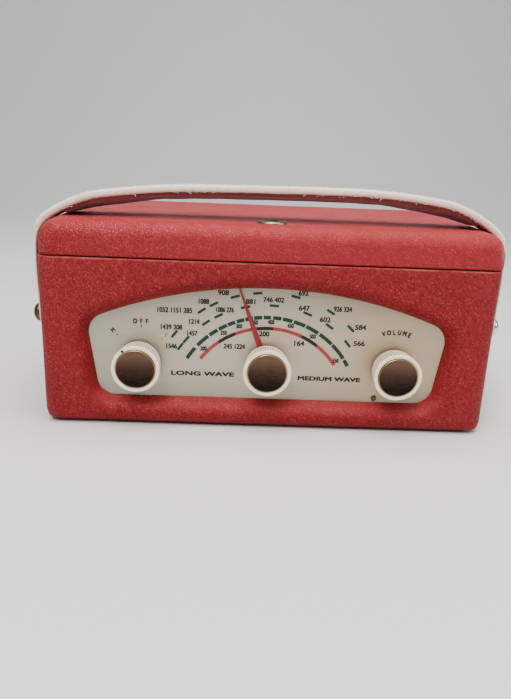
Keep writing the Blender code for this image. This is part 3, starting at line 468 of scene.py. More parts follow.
# Painted dark metal: a painted reflection of dark surroundings on the left stud, and painted shade on the
# right dial-plate screw
DARK_PAINTED_METAL = metal("dark_painted_metal", (0.16, 0.12, 0.08), 0.32, (0.02, 0.015, 0.01), 0.8, 300.0)
CATCH_METAL = metal("catch_nickel", (0.44, 0.37, 0.26), 0.30, (0.10, 0.07, 0.045), 0.7, 420.0)
STEEL = metal("plated_steel", (0.50, 0.50, 0.50), 0.38)
ALUMINIUM = metal("aluminium_can", (0.70, 0.70, 0.69), 0.36, amount=0.2)
CORE_STEEL = metal("transformer_laminations", (0.22, 0.21, 0.20), 0.5, (0.14, 0.06, 0.03), 0.7)
MAGNET_PAINT = metal("magnet_lacquer", (0.16, 0.17, 0.19), 0.5)
FERRITE = enamel("ferrite", (0.035, 0.035, 0.038), 0.55)
RED_PAINT = enamel("pointer_red", (0.27, 0.030, 0.034), 0.35, 0.2, 400.0)
PRINT_GREEN = enamel("dial_green", (0.008, 0.046, 0.024), 0.45, 0.2, 900.0)
PRINT_RED = enamel("dial_red", (0.38, 0.050, 0.050), 0.45, 0.3, 900.0)
PRINT_BLACK = enamel("dial_black", (0.018, 0.017, 0.016), 0.45, 0.15, 900.0)
PRINT_FADED = enamel("dial_faded_red", (0.45, 0.17, 0.12), 0.5, 0.3, 900.0)
THREAD = enamel("loose_thread", (0.72, 0.62, 0.54), 0.85)
CONE_PAPER = enamel("cone_paper", (0.035, 0.030, 0.027), 0.9, 0.5)
BLACK_PLASTIC = enamel("black_plastic", (0.03, 0.03, 0.03), 0.4)
PLYWOOD = plywood()
LAMINATE = circuit_laminate()
WIRE = wound("coil_wire", (0.52, 0.23, 0.08), (0.20, 0.08, 0.03), 0.6 * MM)
BATTERY = battery_wrap()
CLOTH = woven("speaker_weave", (0.03, 0.025, 0.02), (0.10, 0.08, 0.06), 900.0)
RUBBER = rubber()
GRILLE_METAL = metal("grille_gilt", (0.60, 0.52, 0.36), 0.3)
CAN_SLEEVE = enamel("capacitor_sleeve", (0.45, 0.16, 0.05), 0.4)


# ---------------------------------------------------------------- shape helpers


def finished(name, shape, material, body, replaced=(), angle=35):
    """Makes a piece from a bmesh, smooth but for edges over an angle, riding on a body."""
    return dressed(meshed(name, shape), material, body, replaced, angle)


def dressed(piece, material, body, replaced=(), angle=35):
    piece.data.materials.clear()
    piece.data.materials.append(material)
    piece.data.shade_smooth()
    piece.data.set_sharp_from_angle(angle=radians(angle))
    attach(piece, body)
    if replaced:
        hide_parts(*replaced)
    return piece


def meshed(name, shape):
    """An object made from a bmesh."""
    mesh = bpy.data.meshes.new(name)
    shape.to_mesh(mesh)
    shape.free()
    made = bpy.data.objects.new(name, mesh)
    bpy.context.scene.collection.objects.link(made)
    return made


def baked(item):
    """Gives an object the mesh that its modifiers make."""
    bpy.context.view_layer.update()
    evaluated = item.evaluated_get(bpy.context.evaluated_depsgraph_get())
    item.data = bpy.data.meshes.new_from_object(evaluated)
    item.modifiers.clear()
    return item


def combined(target, *steps):
    """Applies Booleans in turn, and removes the objects they used."""
    for how, other in steps:
        modifier = target.modifiers.new(how, "BOOLEAN")
        modifier.operation = how
        modifier.solver = "MANIFOLD"
        modifier.object = other
    baked(target)
    for _, other in steps:
        bpy.data.objects.remove(other, do_unlink=True)
    return target


def block(name, low, high, radii, round_top, segments=10):
    """A block with rounded uprights and a rounded top or underside, and a soft rim opposite."""
    shape = box_shape(low, high)
    weights = shape.edges.layers.float.new("bevel_weight_edge")
    rounded_height = high.z if round_top else low.z
    upright, along_y, along_x, rim = radii
    for edge in shape.edges:
        start, end = (corner.co for corner in edge.verts)
        if abs(start.z - end.z) > MM:
            edge[weights] = upright / max(radii)
        elif abs(start.z - rounded_height) < MM:
            edge[weights] = (along_y if abs(start.x - end.x) < MM else along_x) / max(radii)
    made = meshed(name, shape)
    bevel = made.modifiers.new("rounding", "BEVEL")
    bevel.width = max(radii)
    bevel.segments = segments
    bevel.limit_method = "WEIGHT"
    bevel.use_clamp_overlap = False
    baked(made)
    if rim:
        bevel = made.modifiers.new("rim", "BEVEL")
        bevel.width = rim
        bevel.segments = 3
        bevel.limit_method = "ANGLE"
        bevel.angle_limit = radians(60)
        baked(made)
    return made


def skin(rings, looped=False):
    """A bmesh skin through rings of equal length, capped, or looped so that its last ring meets its first.

    Its UV strip runs along it in metres.
    """
    shape = bmesh.new()
    strip = shape.loops.layers.uv.new("strip")
    rows = [[shape.verts.new(point) for point in ring] for ring in rings]
    if looped:
        rows.append(rows[0])
    count, along = len(rows[0]), 0.0
    for row, after in zip(rows, rows[1:]):
        step = (after[0].co - row[0].co).length
        for here in range(count):
            there = (here + 1) % count
            face = shape.faces.new((row[here], row[there], after[there], after[here]))
            places = ((along, here), (along, here + 1), (along + step, here + 1), (along + step, here))
            for loop, (u, v) in zip(face.loops, places):
                loop[strip].uv = (u, v / count)
        along += step
    if not looped:
        shape.faces.new(rows[0])
        shape.faces.new(rows[-1])
    bmesh.ops.recalc_face_normals(shape, faces=shape.faces)
    return shape


def facing(place, direction):
    """The matrix that stands a shape's Z along a direction at a place."""
    return Matrix.Translation(place) @ Vector(direction).to_track_quat("Z", "Y").to_matrix().to_4x4()


def turned(profile, place, direction, steps=64, looped=False, flutes=0):
    """A bmesh turned about a direction from (radius, height, fluted) rows, which run down its outside, or
    all round the section of a ring where it is looped.
    """
    matrix = facing(place, direction)
    rings = []
    for radius, height, fluted in profile:
        ring = []
        for step in range(steps):
            angle = 2 * pi * step / steps
            away = radius - fluted * FLUTE_DEPTH * (0.5 + 0.5 * cos(flutes * angle)) ** 2
            ring.append(matrix @ Vector((away * cos(angle), away * sin(angle), height)))
        rings.append(ring)
    return skin(rings, looped)


def rod(radius, place, direction, length, steps):
    return turned([(radius, length, 0), (radius, 0, 0)], place, direction, steps)


def plain(pairs):
    """Millimetre pairs as unfluted profile rows in metres."""
    return [(radius * MM, height * MM, 0) for radius, height in pairs]


def rounded_profile(pairs, radius, steps=4):
    """Millimetre profile pairs with their inner corners rounded."""
    points = [Vector(pair) for pair in pairs]
    made = [points[0]]
    for before, corner, after in zip(points, points[1:], points[2:]):
        back, ahead = before - corner, after - corner
        reach = min(radius, back.length * 0.45, ahead.length * 0.45)
        start, end = corner + back.normalized() * reach, corner + ahead.normalized() * reach
        for step in range(steps + 1):
            part = step / steps
            made.append(start.lerp(corner, part).lerp(corner.lerp(end, part), part))
    made.append(points[-1])
    return plain(made)


def printed(outline):
    """A thin print on the dial, as a bmesh, from its outline in X and Z."""
    shape = bmesh.new()
    near = [shape.verts.new((x, DIAL_FRONT - PRINT_THICKNESS, z)) for x, z in outline]
    far = [shape.verts.new((x, DIAL_FRONT, z)) for x, z in outline]
    for here in range(len(outline)):
        there = (here + 1) % len(outline)
        shape.faces.new((near[here], near[there], far[there], far[here]))
    shape.faces.new(near)
    shape.faces.new(far)
    bmesh.ops.recalc_face_normals(shape, faces=shape.faces)
    return shape


def gathered(shapes):
    """One bmesh of several."""
    whole = bmesh.new()
    for shape in shapes:
        mesh = bpy.data.meshes.new("part")
        shape.to_mesh(mesh)
        shape.free()
        whole.from_mesh(mesh)
        bpy.data.meshes.remove(mesh)
    return whole


def box_shape(low, high, matrix=Matrix()):
    shape = bmesh.new()
    low, high = Vector(low), Vector(high)
    place = Matrix.Translation((low + high) / 2) @ Matrix.Diagonal((*(high - low), 1))
    bmesh.ops.create_cube(shape, size=1, matrix=matrix @ place)
    return shape


# ---------------------------------------------------------------- case and lid


def arc(centre_x, centre_z, radius, start, end, steps):
    """Points round a centre, both ends included."""
    for step in range(steps + 1):
        angle = start + (end - start) * step / steps
        yield centre_x + radius * cos(angle), centre_z + radius * sin(angle)


def window_outline(grow=0.0):
    """The dial window in X and Z: a flat foot, rounded corners and a bowed top, moved out by grow."""
    low_x, low_z, low_radius = LOW_CORNER
    high_x, high_z, high_radius = HIGH_CORNER
    climb = atan2(high_z - low_z, high_x - low_x)
    spacing = hypot(high_x - low_x, high_z - low_z)
    side = climb - acos((low_radius - high_radius) / spacing)
    drop = high_z - WINDOW_TOP
    bow = (high_x**2 + drop**2 - high_radius**2) / (-2 * (drop + high_radius))
    bow_start = atan2(high_z - (WINDOW_TOP - bow), high_x)
    right = list(arc(low_x, low_z, low_radius + grow, -pi / 2, side, 14))
    right += arc(high_x, high_z, high_radius + grow, side, bow_start, 12)
    right += list(arc(0, WINDOW_TOP - bow, bow + grow, bow_start, pi / 2, 14))[1:]
    return right + [(-x, z) for x, z in right[-2::-1]]


def window_filler(name, inset, start_depth, end_depth):
    """Fills the window up to its softly rolled edge, less an inset into the roll."""
    reach, roll = ROLL_REACH - inset, ROLL_DEPTH - inset

    def section(depth, grow):
        return [(x, CASE_FRONT + depth, z) for x, z in window_outline(grow)]

    rings = [section(start_depth, ROLL_REACH)]
    for step in range(19):
        share = (step / 18) ** 0.8
        rings.append(section(inset + roll * share**ROLL_POWER, ROLL_REACH - reach * share))
    if end_depth > ROLL_DEPTH:
        rings.append(section(end_depth, ROLL_REACH - reach))
    return meshed(name, skin(rings))


def make_case():
    """The body's leathercloth, rolled in at the dial window, with a few nicks in the roll."""
    top, low = CASE_HIGH.z, CASE_LOW.z
    cover = block("case_cover", CASE_LOW, CASE_HIGH, (*CASE_RADII, 0.6 * MM), False)
    thick = Vector((COVER, COVER, COVER))
    inner_high = CASE_HIGH - thick
    inner_high.z = top + 10 * MM
    radii = [radius - COVER for radius in CASE_RADII]
    inside = block("inside", CASE_LOW + thick, inner_high, (*radii, 0), False)
    grille_low, grille_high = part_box("speaker_grille")
    margin = Vector((0.5 * MM, 0.5 * MM, 0))
    grille_low, grille_high = grille_low - margin, grille_high + margin
    grille_low.z, grille_high.z = low - 5 * MM, low + 1.4 * MM
    opening = meshed("opening", box_shape(grille_low, grille_high))
    reach = CASE_HIGH.x + 5 * MM
    pins = rod(STUD_PIN_RADIUS, (-reach, STUD_Y, STUD_HEIGHT), (1, 0, 0), 2 * reach, 24)
    combined(
        cover,
        ("DIFFERENCE", inside),
        ("DIFFERENCE", opening),
        ("DIFFERENCE", meshed("pins", pins)),
        ("UNION", window_filler("roll", COVER, COVER / 2, ROLL_DEPTH)),
        ("DIFFERENCE", window_filler("window", 0, -3 * MM, 9 * MM)),
        ("DIFFERENCE", meshed("nicks", nicks())),
    )
    dressed(cover, LEATHERCLOTH, "cabinet", ["body_leathercloth"], 40)


def nicks():
    """Small tears in the roll: two at the window's left side and a run along its lower edge."""
    chance = random.Random(4)
    shape = bmesh.new()
    places = [(-92.6, 38.5), (-92.2, 36.2), (-91.6, 33.4)]
    places += [(-77 + 2.6 * number, 15.4) for number in range(6)]
    for x, z in places:
        size = chance.uniform(0.5, 1.0) * MM
        centre = Vector((x * MM, CASE_FRONT + ROLL_DEPTH - chance.uniform(0, 0.6) * MM, z * MM))
        stretch = Matrix.Diagonal((chance.uniform(0.8, 1.2), 1, chance.uniform(0.6, 1), 1))
        matrix = Matrix.Translation(centre) @ stretch
        bmesh.ops.create_icosphere(shape, subdivisions=1, radius=size, matrix=matrix)
    return shape


def make_lid():
    """The lid's leathercloth, soft along its top edges, with a hole for the catch."""
    cover = block("lid_cover", LID_LOW, LID_HIGH, (*LID_RADII, 0.7 * MM), True, 14)
    thick = Vector((COVER, COVER, COVER))
    inner_low = LID_LOW + thick
    inner_low.z = LID_LOW.z - 10 * MM
    radii = [radius - COVER for radius in LID_RADII]
    inside = block("inside", inner_low, LID_HIGH - thick, (*radii, 0), True)
    hole = rod(7.5 * MM, (0, CATCH_Y, LID_HIGH.z - 30 * MM), (0, 0, 1), 40 * MM, 40)
    combined(cover, ("DIFFERENCE", inside), ("DIFFERENCE", meshed("hole", hole)))
    dressed(cover, LEATHERCLOTH, "lid", ["lid_leathercloth"], 40)


def make_hinge_screws():
    """Slotted screw heads in the hinge leaves."""
    for side, name in ((-1, "left"), (1, "right")):
        for leaf, body in (("body", "cabinet"), ("lid", "lid")):
            low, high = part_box(f"hinge_{leaf}_leaf_{name}")
            height = low.z + 4 * MM if leaf == "body" else high.z - 4 * MM
            heads = []
            for offset in (-HINGE_SCREW_OFFSET, HINGE_SCREW_OFFSET):
                place = Vector(((low.x + high.x) / 2 + offset, CASE_HIGH.y + 1.3 * MM, height))
                heads.append(screw_head(place, (0, 1, 0), 2.1 * MM, 0.8 * MM, 25 * side))
            finished(f"hinge_screws_{leaf}_{name}", gathered(heads), STEEL, body)


def screw_head(place, direction, radius, height, turn):
    """A domed, slotted screw head as a bmesh: two half rounds with the slot's floor between."""
    half_slot = radius * 0.16
    shapes = [rod(radius * 0.9, (0, 0, 0), (0, 0, 1), height * 0.45, 28)]
    for side in (-1, 1):
        outline = [(max(0, x), side * z) for x, z in arc(0, 0, radius, pi / 2, -pi / 2, 12)]
        rings = []
        for share, level in ((1.0, 0.0), (1.0, 0.35), (0.86, 0.8), (0.55, 1.0)):
            row = [(side * (x * share + half_slot), z * share, height * level) for x, z in outline]
            rings.append(row)
        shapes.append(skin(rings))
    whole = gathered(shapes)
    matrix = facing(place, direction) @ Matrix.Rotation(radians(turn), 4, "Z")
    bmesh.ops.transform(whole, matrix=matrix, verts=whole.verts)
    return whole


def make_feet_and_studs():
    """Rubber feet, and the domed chrome studs that the strap swings on: the left one is painted dark, a
    painted reflection of dark surroundings.
    """
    for node in ("foot_left_low", "foot_left_high", "foot_right_low", "foot_right_high"):
        low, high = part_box(node)
        place = Vector(((low.x + high.x) / 2, low.y, (low.z + high.z) / 2))
        tall = (high.y - low.y) / MM
        profile = [(0.3, tall - 0.6), (2.2, tall - 0.5), (2.6, tall), (5.6, tall), (7, 0), (0.3, 0)]
        shape = turned(rounded_profile(profile, 0.7), place, (0, 1, 0), 48)
        finished(node + "_rubber", shape, RUBBER, "cabinet", [node])
    for side, name in ((-1, "left"), (1, "right")):
        low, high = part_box(f"handle_stud_{name}")
        outer = high.x if side > 0 else -low.x
        dome = 4.2
        profile = [(0.05, dome), (1.2, 4.13), (2.4, 3.88), (3.4, 3.45), (4.2, 2.85), (4.8, 2.1), (5.15, 1.3)]
        profile += [(5.15, 0.5), (4.8, 0.05), (2.0, 0), (2.0, -12), (0.05, -12)]
        place = (side * (outer - dome * MM), STUD_Y, STUD_HEIGHT)
        shape = turned(plain(profile), place, (side, 0, 0), 48)
        # The left stud is chrome painted dark, a painted reflection of dark surroundings
        finish = DARK_PAINTED_METAL if side < 0 else CHROME
        finished(f"stud_{name}", shape, finish, "cabinet", [f"handle_stud_{name}"], 50)


# ---------------------------------------------------------------- dial

GREEN_SEGMENTS = (
    (-58.7, -50.3), (-48.1, -39.1), (-38.1, -32.3), (-31.3, -25.8), (-25.2, -20.4), (-19.5, -14.7),
    (-14.1, -9.5), (-8.7, -3.8), (-2.9, 1.5), (2.7, 7.8), (8.7, 14.7), (15.6, 22.9), (23.7, 32.2),
    (33.3, 43.2), (43.8, 55.1), (56.1, 60.7),
)
RED_RUNS = ((-53.8, -35.9), (-23.0, -7.6), (3.6, 24.0), (36.8, 55.8))
BLACK_RUNS = ((-35.9, -23.0), (-7.6, 3.6), (24.0, 36.8))
INNER_TICKS = (-55.0, -49.8, -35.5, -27.7, -12.6, 2.8, 21.2, 35.0, 49.0)
OUTER_TICKS = (-51.5, -33.8, -27.2, -16.4, -5.6, 12.6, 31.1, 43.9)
WAVELENGTHS = (
    ("200", -34.8, 43.8), ("250", -24.0, 53.1), ("300", -15.7, 57.1), ("350", -7.3, 59.5),
    ("400", 1.5, 60.0), ("450", 12.1, 58.3), ("500", 24.5, 52.7), ("550", 38.0, 39.3),
)
FREQUENCIES = (
    ("1546", -52.2, 44.6, 6.4), ("1439 208", -52.3, 55.4, 13.0), ("1457", -41.0, 52.3, 6.0),
    ("1214", -40.0, 58.9, 6.2), ("1052 1151 285", -50.5, 64.9, 21.0), ("1088", -35.0, 70.2, 6.2),
    ("1086 276", -23.6, 66.0, 10.6), ("908", -24.6, 75.4, 6.4), ("881", -10.0, 71.0, 5.6),
    ("746 402", 2.4, 72.4, 12.5), ("692", 18.1, 76.6, 5.8), ("647", 19.0, 68.4, 6.4),
    ("926 324", 39.8, 68.5, 11.0), ("602", 30.7, 62.4, 6.4), ("584", 50.2, 58.7, 6.6),
    ("566", 50.2, 49.6, 6.8), ("245 1224", -18.0, 45.6, 13.0), ("200", -1.9, 53.3, 6.0),
    ("164", 17.4, 48.5, 6.0),
)


def band(radius, width, start, end):
    """Part of a ring on the dial, between two angles from upright in degrees."""
    steps = max(2, round(abs(end - start) / 2))
    start, end = pi / 2 - radians(start), pi / 2 - radians(end)
    outline = list(arc(0, SCALE_CENTRE, radius + width / 2, start, end, steps))
    outline += arc(0, SCALE_CENTRE, radius - width / 2, end, start, steps)
    return printed(outline)


def tick(radius, angle, length=5 * MM, width=1.4 * MM):
    """A straight mark across the line from the scale's centre."""
    turn = Matrix.Rotation(-radians(angle), 2)
    corners = ((-length / 2, radius - width / 2), (length / 2, radius - width / 2))
    corners += ((length / 2, radius + width / 2), (-length / 2, radius + width / 2))
    outline = [turn @ Vector(corner) for corner in corners]
    return printed([(x, z + SCALE_CENTRE) for x, z in outline])


def lettering(text, x, z, cap, width=None, turn=0.0, squeeze=0.75, bold=0.15):
    """Text on the dial in millimetres: its middle, cap height, full width and lean in degrees.

    Copies set bold to each side of the middle thicken its strokes. Each lies a hair in front of the last, so
    that no two faces fall together.
    """
    layer = 0.004 * MM
    curve = bpy.data.curves.new("text", "FONT")
    curve.body = text
    curve.size = cap / 0.7 * MM
    curve.align_x = "CENTER"
    curve.resolution_u = 3
    curve.extrude = PRINT_THICKNESS / 2
    drawn = bpy.data.objects.new("text", curve)
    bpy.context.scene.collection.objects.link(drawn)
    bpy.context.view_layer.update()
    evaluated = drawn.evaluated_get(bpy.context.evaluated_depsgraph_get())
    mesh = bpy.data.meshes.new_from_object(evaluated)
    bpy.data.objects.remove(drawn, do_unlink=True)
    shape = bmesh.new()
    shape.from_mesh(mesh)
    bpy.data.meshes.remove(mesh)
    bmesh.ops.remove_doubles(shape, verts=shape.verts, dist=0.000002)
    across = [vertex.co.x for vertex in shape.verts]
    up = [vertex.co.y for vertex in shape.verts]
    if width:
        squeeze = width * MM / (max(across) - min(across))
    middle = Vector(((max(across) + min(across)) / 2, (max(up) + min(up)) / 2, 0))
    place = Matrix.Translation((x * MM, DIAL_FRONT - PRINT_THICKNESS / 2, z * MM))
    place = place @ Matrix.Rotation(-radians(turn), 4, "Y") @ Matrix.Rotation(pi / 2, 4, "X")
    place = place @ Matrix.Diagonal((squeeze, 1, 1, 1)) @ Matrix.Translation(-middle)
    copies = []
    for number, (right, above) in enumerate(((-1, -1), (1, -1), (-1, 1), (1, 1))):
        moved = Matrix.Translation((right * bold * MM, -number * layer, above * bold * 0.7 * MM))
        copy = shape.copy()
        bmesh.ops.transform(copy, matrix=moved @ place, verts=copy.verts)
        copies.append(copy)
    shape.free()
    return gathered(copies)


def make_printing():
    """The dial's scales, numbers and control legends, as thin raised print."""
    green = [band(*GREEN_RING, *ends) for ends in GREEN_SEGMENTS]
    green += [tick(INNER_TICK_RADIUS, angle) for angle in INNER_TICKS]
    green += [tick(OUTER_TICK_RADIUS, angle) for angle in OUTER_TICKS]
    finished("scale_green", gathered(green), PRINT_GREEN, "cabinet")
    red = [band(*RED_RING, *ends) for ends in RED_RUNS]
    finished("scale_red", gathered(red), PRINT_RED, "cabinet")
    black = [band(*RED_RING, *ends) for ends in BLACK_RUNS]
    black += [lettering(text, x, z, 2.3, squeeze=0.70) for text, x, z in WAVELENGTHS]
    black += [lettering(text, x, z, 2.7, width * 0.88) for text, x, z, width in FREQUENCIES]
    black += [lettering("LONG WAVE", -35.1, 29.2, 2.3, 34.5, bold=0.22)]
    black += [lettering("MEDIUM WAVE", 35.1, 28.4, 2.3, 34.5, bold=0.22)]
    for letter, x in (("O", -71.9), ("F", -68.5), ("F", -65.5)):
        black.append(lettering(letter, x, 58.1, 2.6, bold=0.2))
    black.append(lettering("M", -83.9, 52.6, 2.5, turn=40, squeeze=0.8, bold=0.12))
    black += [mark(-81.6, 50.0, 40), mark(-68.6, 55.2, 0)]
    legend_radius, first_angle, letter_angle = 21, -18.4, 7.9
    for number, letter in enumerate("VOLUME"):
        angle = first_angle + letter_angle * number
        x = AXIS_PITCH / MM + legend_radius * sin(radians(angle))
        z = AXIS_HEIGHT / MM + legend_radius * cos(radians(angle))
        black.append(lettering(letter, x, z, 2.6, turn=-angle, bold=0.2))
    finished("print_black", gathered(black), PRINT_BLACK, "cabinet")
    faded = [lettering("L", -54.9, 50.8, 2.4, turn=-45), mark(-57.4, 48.6, -45)]
    finished("print_faded", gathered(faded), PRINT_FADED, "cabinet")


def mark(x, z, turn):
    """A short mark beside a switch position."""
    lean = Matrix.Rotation(radians(turn), 2)
    corners = ((-0.2, -0.7), (0.2, -0.7), (0.3, 0.7), (-0.3, 0.7))
    outline = [lean @ Vector(corner) for corner in corners]
    outline = [((x + a) * MM, (z + b) * MM) for a, b in outline]
    return printed(outline)


def make_pointer():
    """The red pointer: a tapered blade with a ridge down its middle and a hub."""
    low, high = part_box("tuning_pointer")
    front, back = low.y, high.y
    root, hub, tip, half_base, half_tip = (length * MM for length in (3.4, 6, 45, 1.8, 0.4))
    turn = Matrix.Rotation(radians(20.7), 2)
    rings = []
    for step in range(17):
        reach = root + (tip - root) * step / 16
        half = half_base + (half_tip - half_base) * max(0, (reach - hub) / (tip - hub))
        row = [(-half, back), (-half, front + 0.25 * MM), (-half * 0.35, front)]
        row += [(half * 0.35, front), (half, front + 0.25 * MM), (half, back)]
        ring = []
        for x, y in row:
            placed = turn @ Vector((x, reach))
            ring.append((placed.x, y, placed.y + AXIS_HEIGHT))
        rings.append(ring)
    hub_rows = plain([(3.3, 0), (3.3, 0.6), (5.6, 0.65), (6.0, 0.4), (6.0, 0)])
    hub_shape = turned(hub_rows, (0, back, AXIS_HEIGHT), (0, -1, 0), 48)
    whole = gathered([skin(rings), hub_shape])
    finished("pointer", whole, RED_PAINT, "tuning", ["tuning_pointer"], 50)


# ---------------------------------------------------------------- knobs


def make_knob(name):
    """A finely fluted cream knob, its spun disc and the bright ring round the disc."""
    low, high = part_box(f"{name}_knob")
    centre = Vector(((low.x + high.x) / 2, high.y, (low.z + high.z) / 2))
    length = (high.y - low.y) / MM
    rim = [(10.8, 1.7), (10.8, 0.6), (10.95, 0.33), (11.3, 0.18), (11.9, 0.15), (12.4, 0.2)]
    rim += [(12.7, 0.4), (12.88, 0.75), (12.92, 1.2)]
    rows = plain([(radius, length - depth) for radius, depth in rim])
    grip = ((GRIP_FRONT_RADIUS, length * MM - GRIP_START), (12.8 * MM, length * MM - 3 * MM))
    grip += ((12.4 * MM, 6 * MM), (GRIP_BACK_RADIUS, GRIP_END))
    rows += [(radius, height, 1) for radius, height in grip]
    rows += plain([(11.95, 0.9), (11.8, 0.35), (11.4, 0), (3.3, 0), (3.3, length - 1.7)])
    shape = turned(rows, centre, (0, -1, 0), FLUTES * STEPS_PER_FLUTE, True, FLUTES)
    finished(f"{name}_fluted_knob", shape, CREAM_PLASTIC, name, [f"{name}_knob"], 60)
    disc_low, disc_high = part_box(f"{name}_knob_disc")
    seat = Vector((centre.x, disc_high.y, centre.z))
    tall = (disc_high.y - disc_low.y) / MM
    rows = [(0.05, 0.42), (2.5, 0.42), (5, 0.47), (7.5, 0.58), (9.4, 0.74), (10.1, 0.86)]
    rows += [(10.1, 0), (0.05, 0)]
    shape = turned(plain(rows), seat, (0, -1, 0), 96)
    finished(f"{name}_disc", shape, COPPER, name, [f"{name}_knob_disc"], 40)
    rows = [(10.12, 0.86), (10.2, tall - 0.06), (10.32, tall), (10.45, tall - 0.1), (10.5, tall - 0.3)]
    rows += [(10.5, 0), (10.12, 0)]
    finished(f"{name}_ring", turned(plain(rows), seat, (0, -1, 0), 96, True), BRASS, name)


def make_dot():
    """The black dot that marks the wave switch's position."""
    angle, reach = radians(-34), 11.75 * MM
    low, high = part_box("wave_switch_knob")
    centre = Vector(((low.x + high.x) / 2, low.y + 0.12 * MM, AXIS_HEIGHT))
    place = centre + Vector((reach * sin(angle), 0, reach * cos(angle)))
    rows = plain([(0.05, 0.14), (0.6, 0.12), (0.78, 0.0), (0.78, -0.4), (0.05, -0.3)])
    finished("switch_dot", turned(rows, place, (0, -1, 0), 24), PRINT_BLACK, "wave_switch")


# ---------------------------------------------------------------- catch


def make_catch():
    """A pressed metal ring in the lid and a dished, coin-slotted button in it."""
    place = Vector((0, CATCH_Y, LID_HIGH.z))
    rows = [(8.2, 0.05), (8.15, 0.5), (7.9, 0.85), (7.4, 1.0), (6.9, 0.9), (6.55, 0.55), (6.4, 0.1)]
    rows += [(6.4, -7.8), (7.2, -7.8), (7.2, 0.05)]
    shape = turned(plain(rows), place, (0, 0, 1), 72, True)
    finished("catch_ring", shape, CATCH_METAL, "lid", ["catch_bezel"], 45)
    rows = [(0.05, 0.25), (2.0, 0.3), (4.0, 0.55), (5.2, 0.95), (5.7, 1.05), (6.05, 0.75), (6.1, 0.3)]
    rows += [(6.1, -4), (2.5, -4), (2.5, -27.8), (0.05, -27.8)]
    button = meshed("catch_head", turned(plain(rows), place, (0, 0, 1), 72))
    turn = Matrix.Translation(place) @ Matrix.Rotation(radians(35), 4, "Z")
    half_width, depth = 0.95 * MM, 1.2 * MM
    slot = box_shape((-10 * MM, -half_width, -depth), (10 * MM, half_width, 5 * MM), turn)
    combined(button, ("DIFFERENCE", meshed("coin_slot", slot)))
    dressed(button, CATCH_METAL, "catch", ["catch_button"], 40)


# ---------------------------------------------------------------- strap


def strap_line():
    """Points down the middle of the right half of the strap, as x, z and the outward angle."""
    x, z, turn = 0.0, STRAP_APEX, 0.0
    points = [(0.0, z, 0.0)]
    for radius, angle, steps in STRAP_ARCS:
        for _ in range(steps):
            step = radians(angle) / steps
            x += radius * MM * (sin(turn + step) - sin(turn))
            z -= radius * MM * (cos(turn) - cos(turn + step))
            turn += step
            points.append((x, z, turn))
    run = z - STUD_HEIGHT
    for part in (0.12, 0.24, 0.36, 0.48, 0.6, 0.72, 0.84, 0.92, 1):
        points.append((x + run * part * cos(turn), z - run * part, turn))
    foot = points[-1][0]
    for angle in (12, 24, 36, 48, 60, 70, 78, 84):
        points.append((foot, STUD_HEIGHT - STRAP_END_RADIUS * sin(radians(angle)), pi / 2))
    return points


def whole_line():
    """The middle line from the left stud to the right one."""
    right = strap_line()
    return [(-x, z, -turn) for x, z, turn in right[:0:-1]] + right


def strap_width(z):
    """Round below the studs, then widening to the full width."""
    below = STUD_HEIGHT - z
    if below > 0:
        return 2 * sqrt(max(0, STRAP_END_RADIUS**2 - below**2))
    share = min(1, -below / STRAP_TAPER)
    share = share * share * (3 - 2 * share)
    return 2 * STRAP_END_RADIUS + (STRAP_WIDTH - 2 * STRAP_END_RADIUS) * share


def strap_frame(x, z, turn):
    """The middle of the strap there, and its directions across and outwards."""
    tilt = STRAP_LEAN * min(1, max(0, (STRAP_FLAT[0] - abs(x)) / STRAP_FLAT[1]))
    across = Vector((0, cos(tilt), -sin(tilt)))
    out = Vector((sin(turn), 0, cos(turn)))
    out = (out - across * out.dot(across)).normalized()
    lean = max(0, z - STUD_HEIGHT) * sin(STRAP_LEAN)
    climb = STRAP_SLOPE * x * (1 - min(1, abs(x) / STRAP_FOOT) ** 4)
    return Vector((x, STUD_Y + lean, z + climb)), across, out


def strap_thickness(z):
    """Padded over the lid and thin at the case's sides."""
    fullness = min(1, max(0, (z - STRAP_PADDING[0]) / STRAP_PADDING[1]))
    return STRAP_THIN + (STRAP_THICK - STRAP_THIN) * fullness


def make_strap():
    """Cream vinyl folded round the strap's core, with small dents along it."""
    sides, dents_per_metre, dent_depth = 36, 130, 0.16 * MM
    rings = []
    for x, z, turn in whole_line():
        middle, across, out = strap_frame(x, z, turn)
        half, thick = strap_width(z) / 2, strap_thickness(z) / 2
        ring = []
        for step in range(sides):
            angle = 2 * pi * step / sides
            flat, tall = cos(angle), sin(angle)
            along = half * abs(flat) ** 0.32 * (1 if flat > 0 else -1)
            away = thick * abs(tall) ** 0.55 * (1 if tall > 0 else -1)
            dent = noise.noise(Vector((x, along, away)) * dents_per_metre) * dent_depth
            ring.append(middle + across * (along + dent) + out * (away + dent * (tall > -0.2)))
        rings.append(ring)
    cover = meshed("strap_cover", skin(rings))
    reach = STRAP_FOOT + 20 * MM
    pins = rod(STUD_PIN_RADIUS, (-reach, STUD_Y, STUD_HEIGHT), (1, 0, 0), 2 * reach, 32)
    combined(cover, ("DIFFERENCE", meshed("pins", pins)))
    dressed(cover, CREAM_VINYL, "handle", ["handle_strap"], 60)


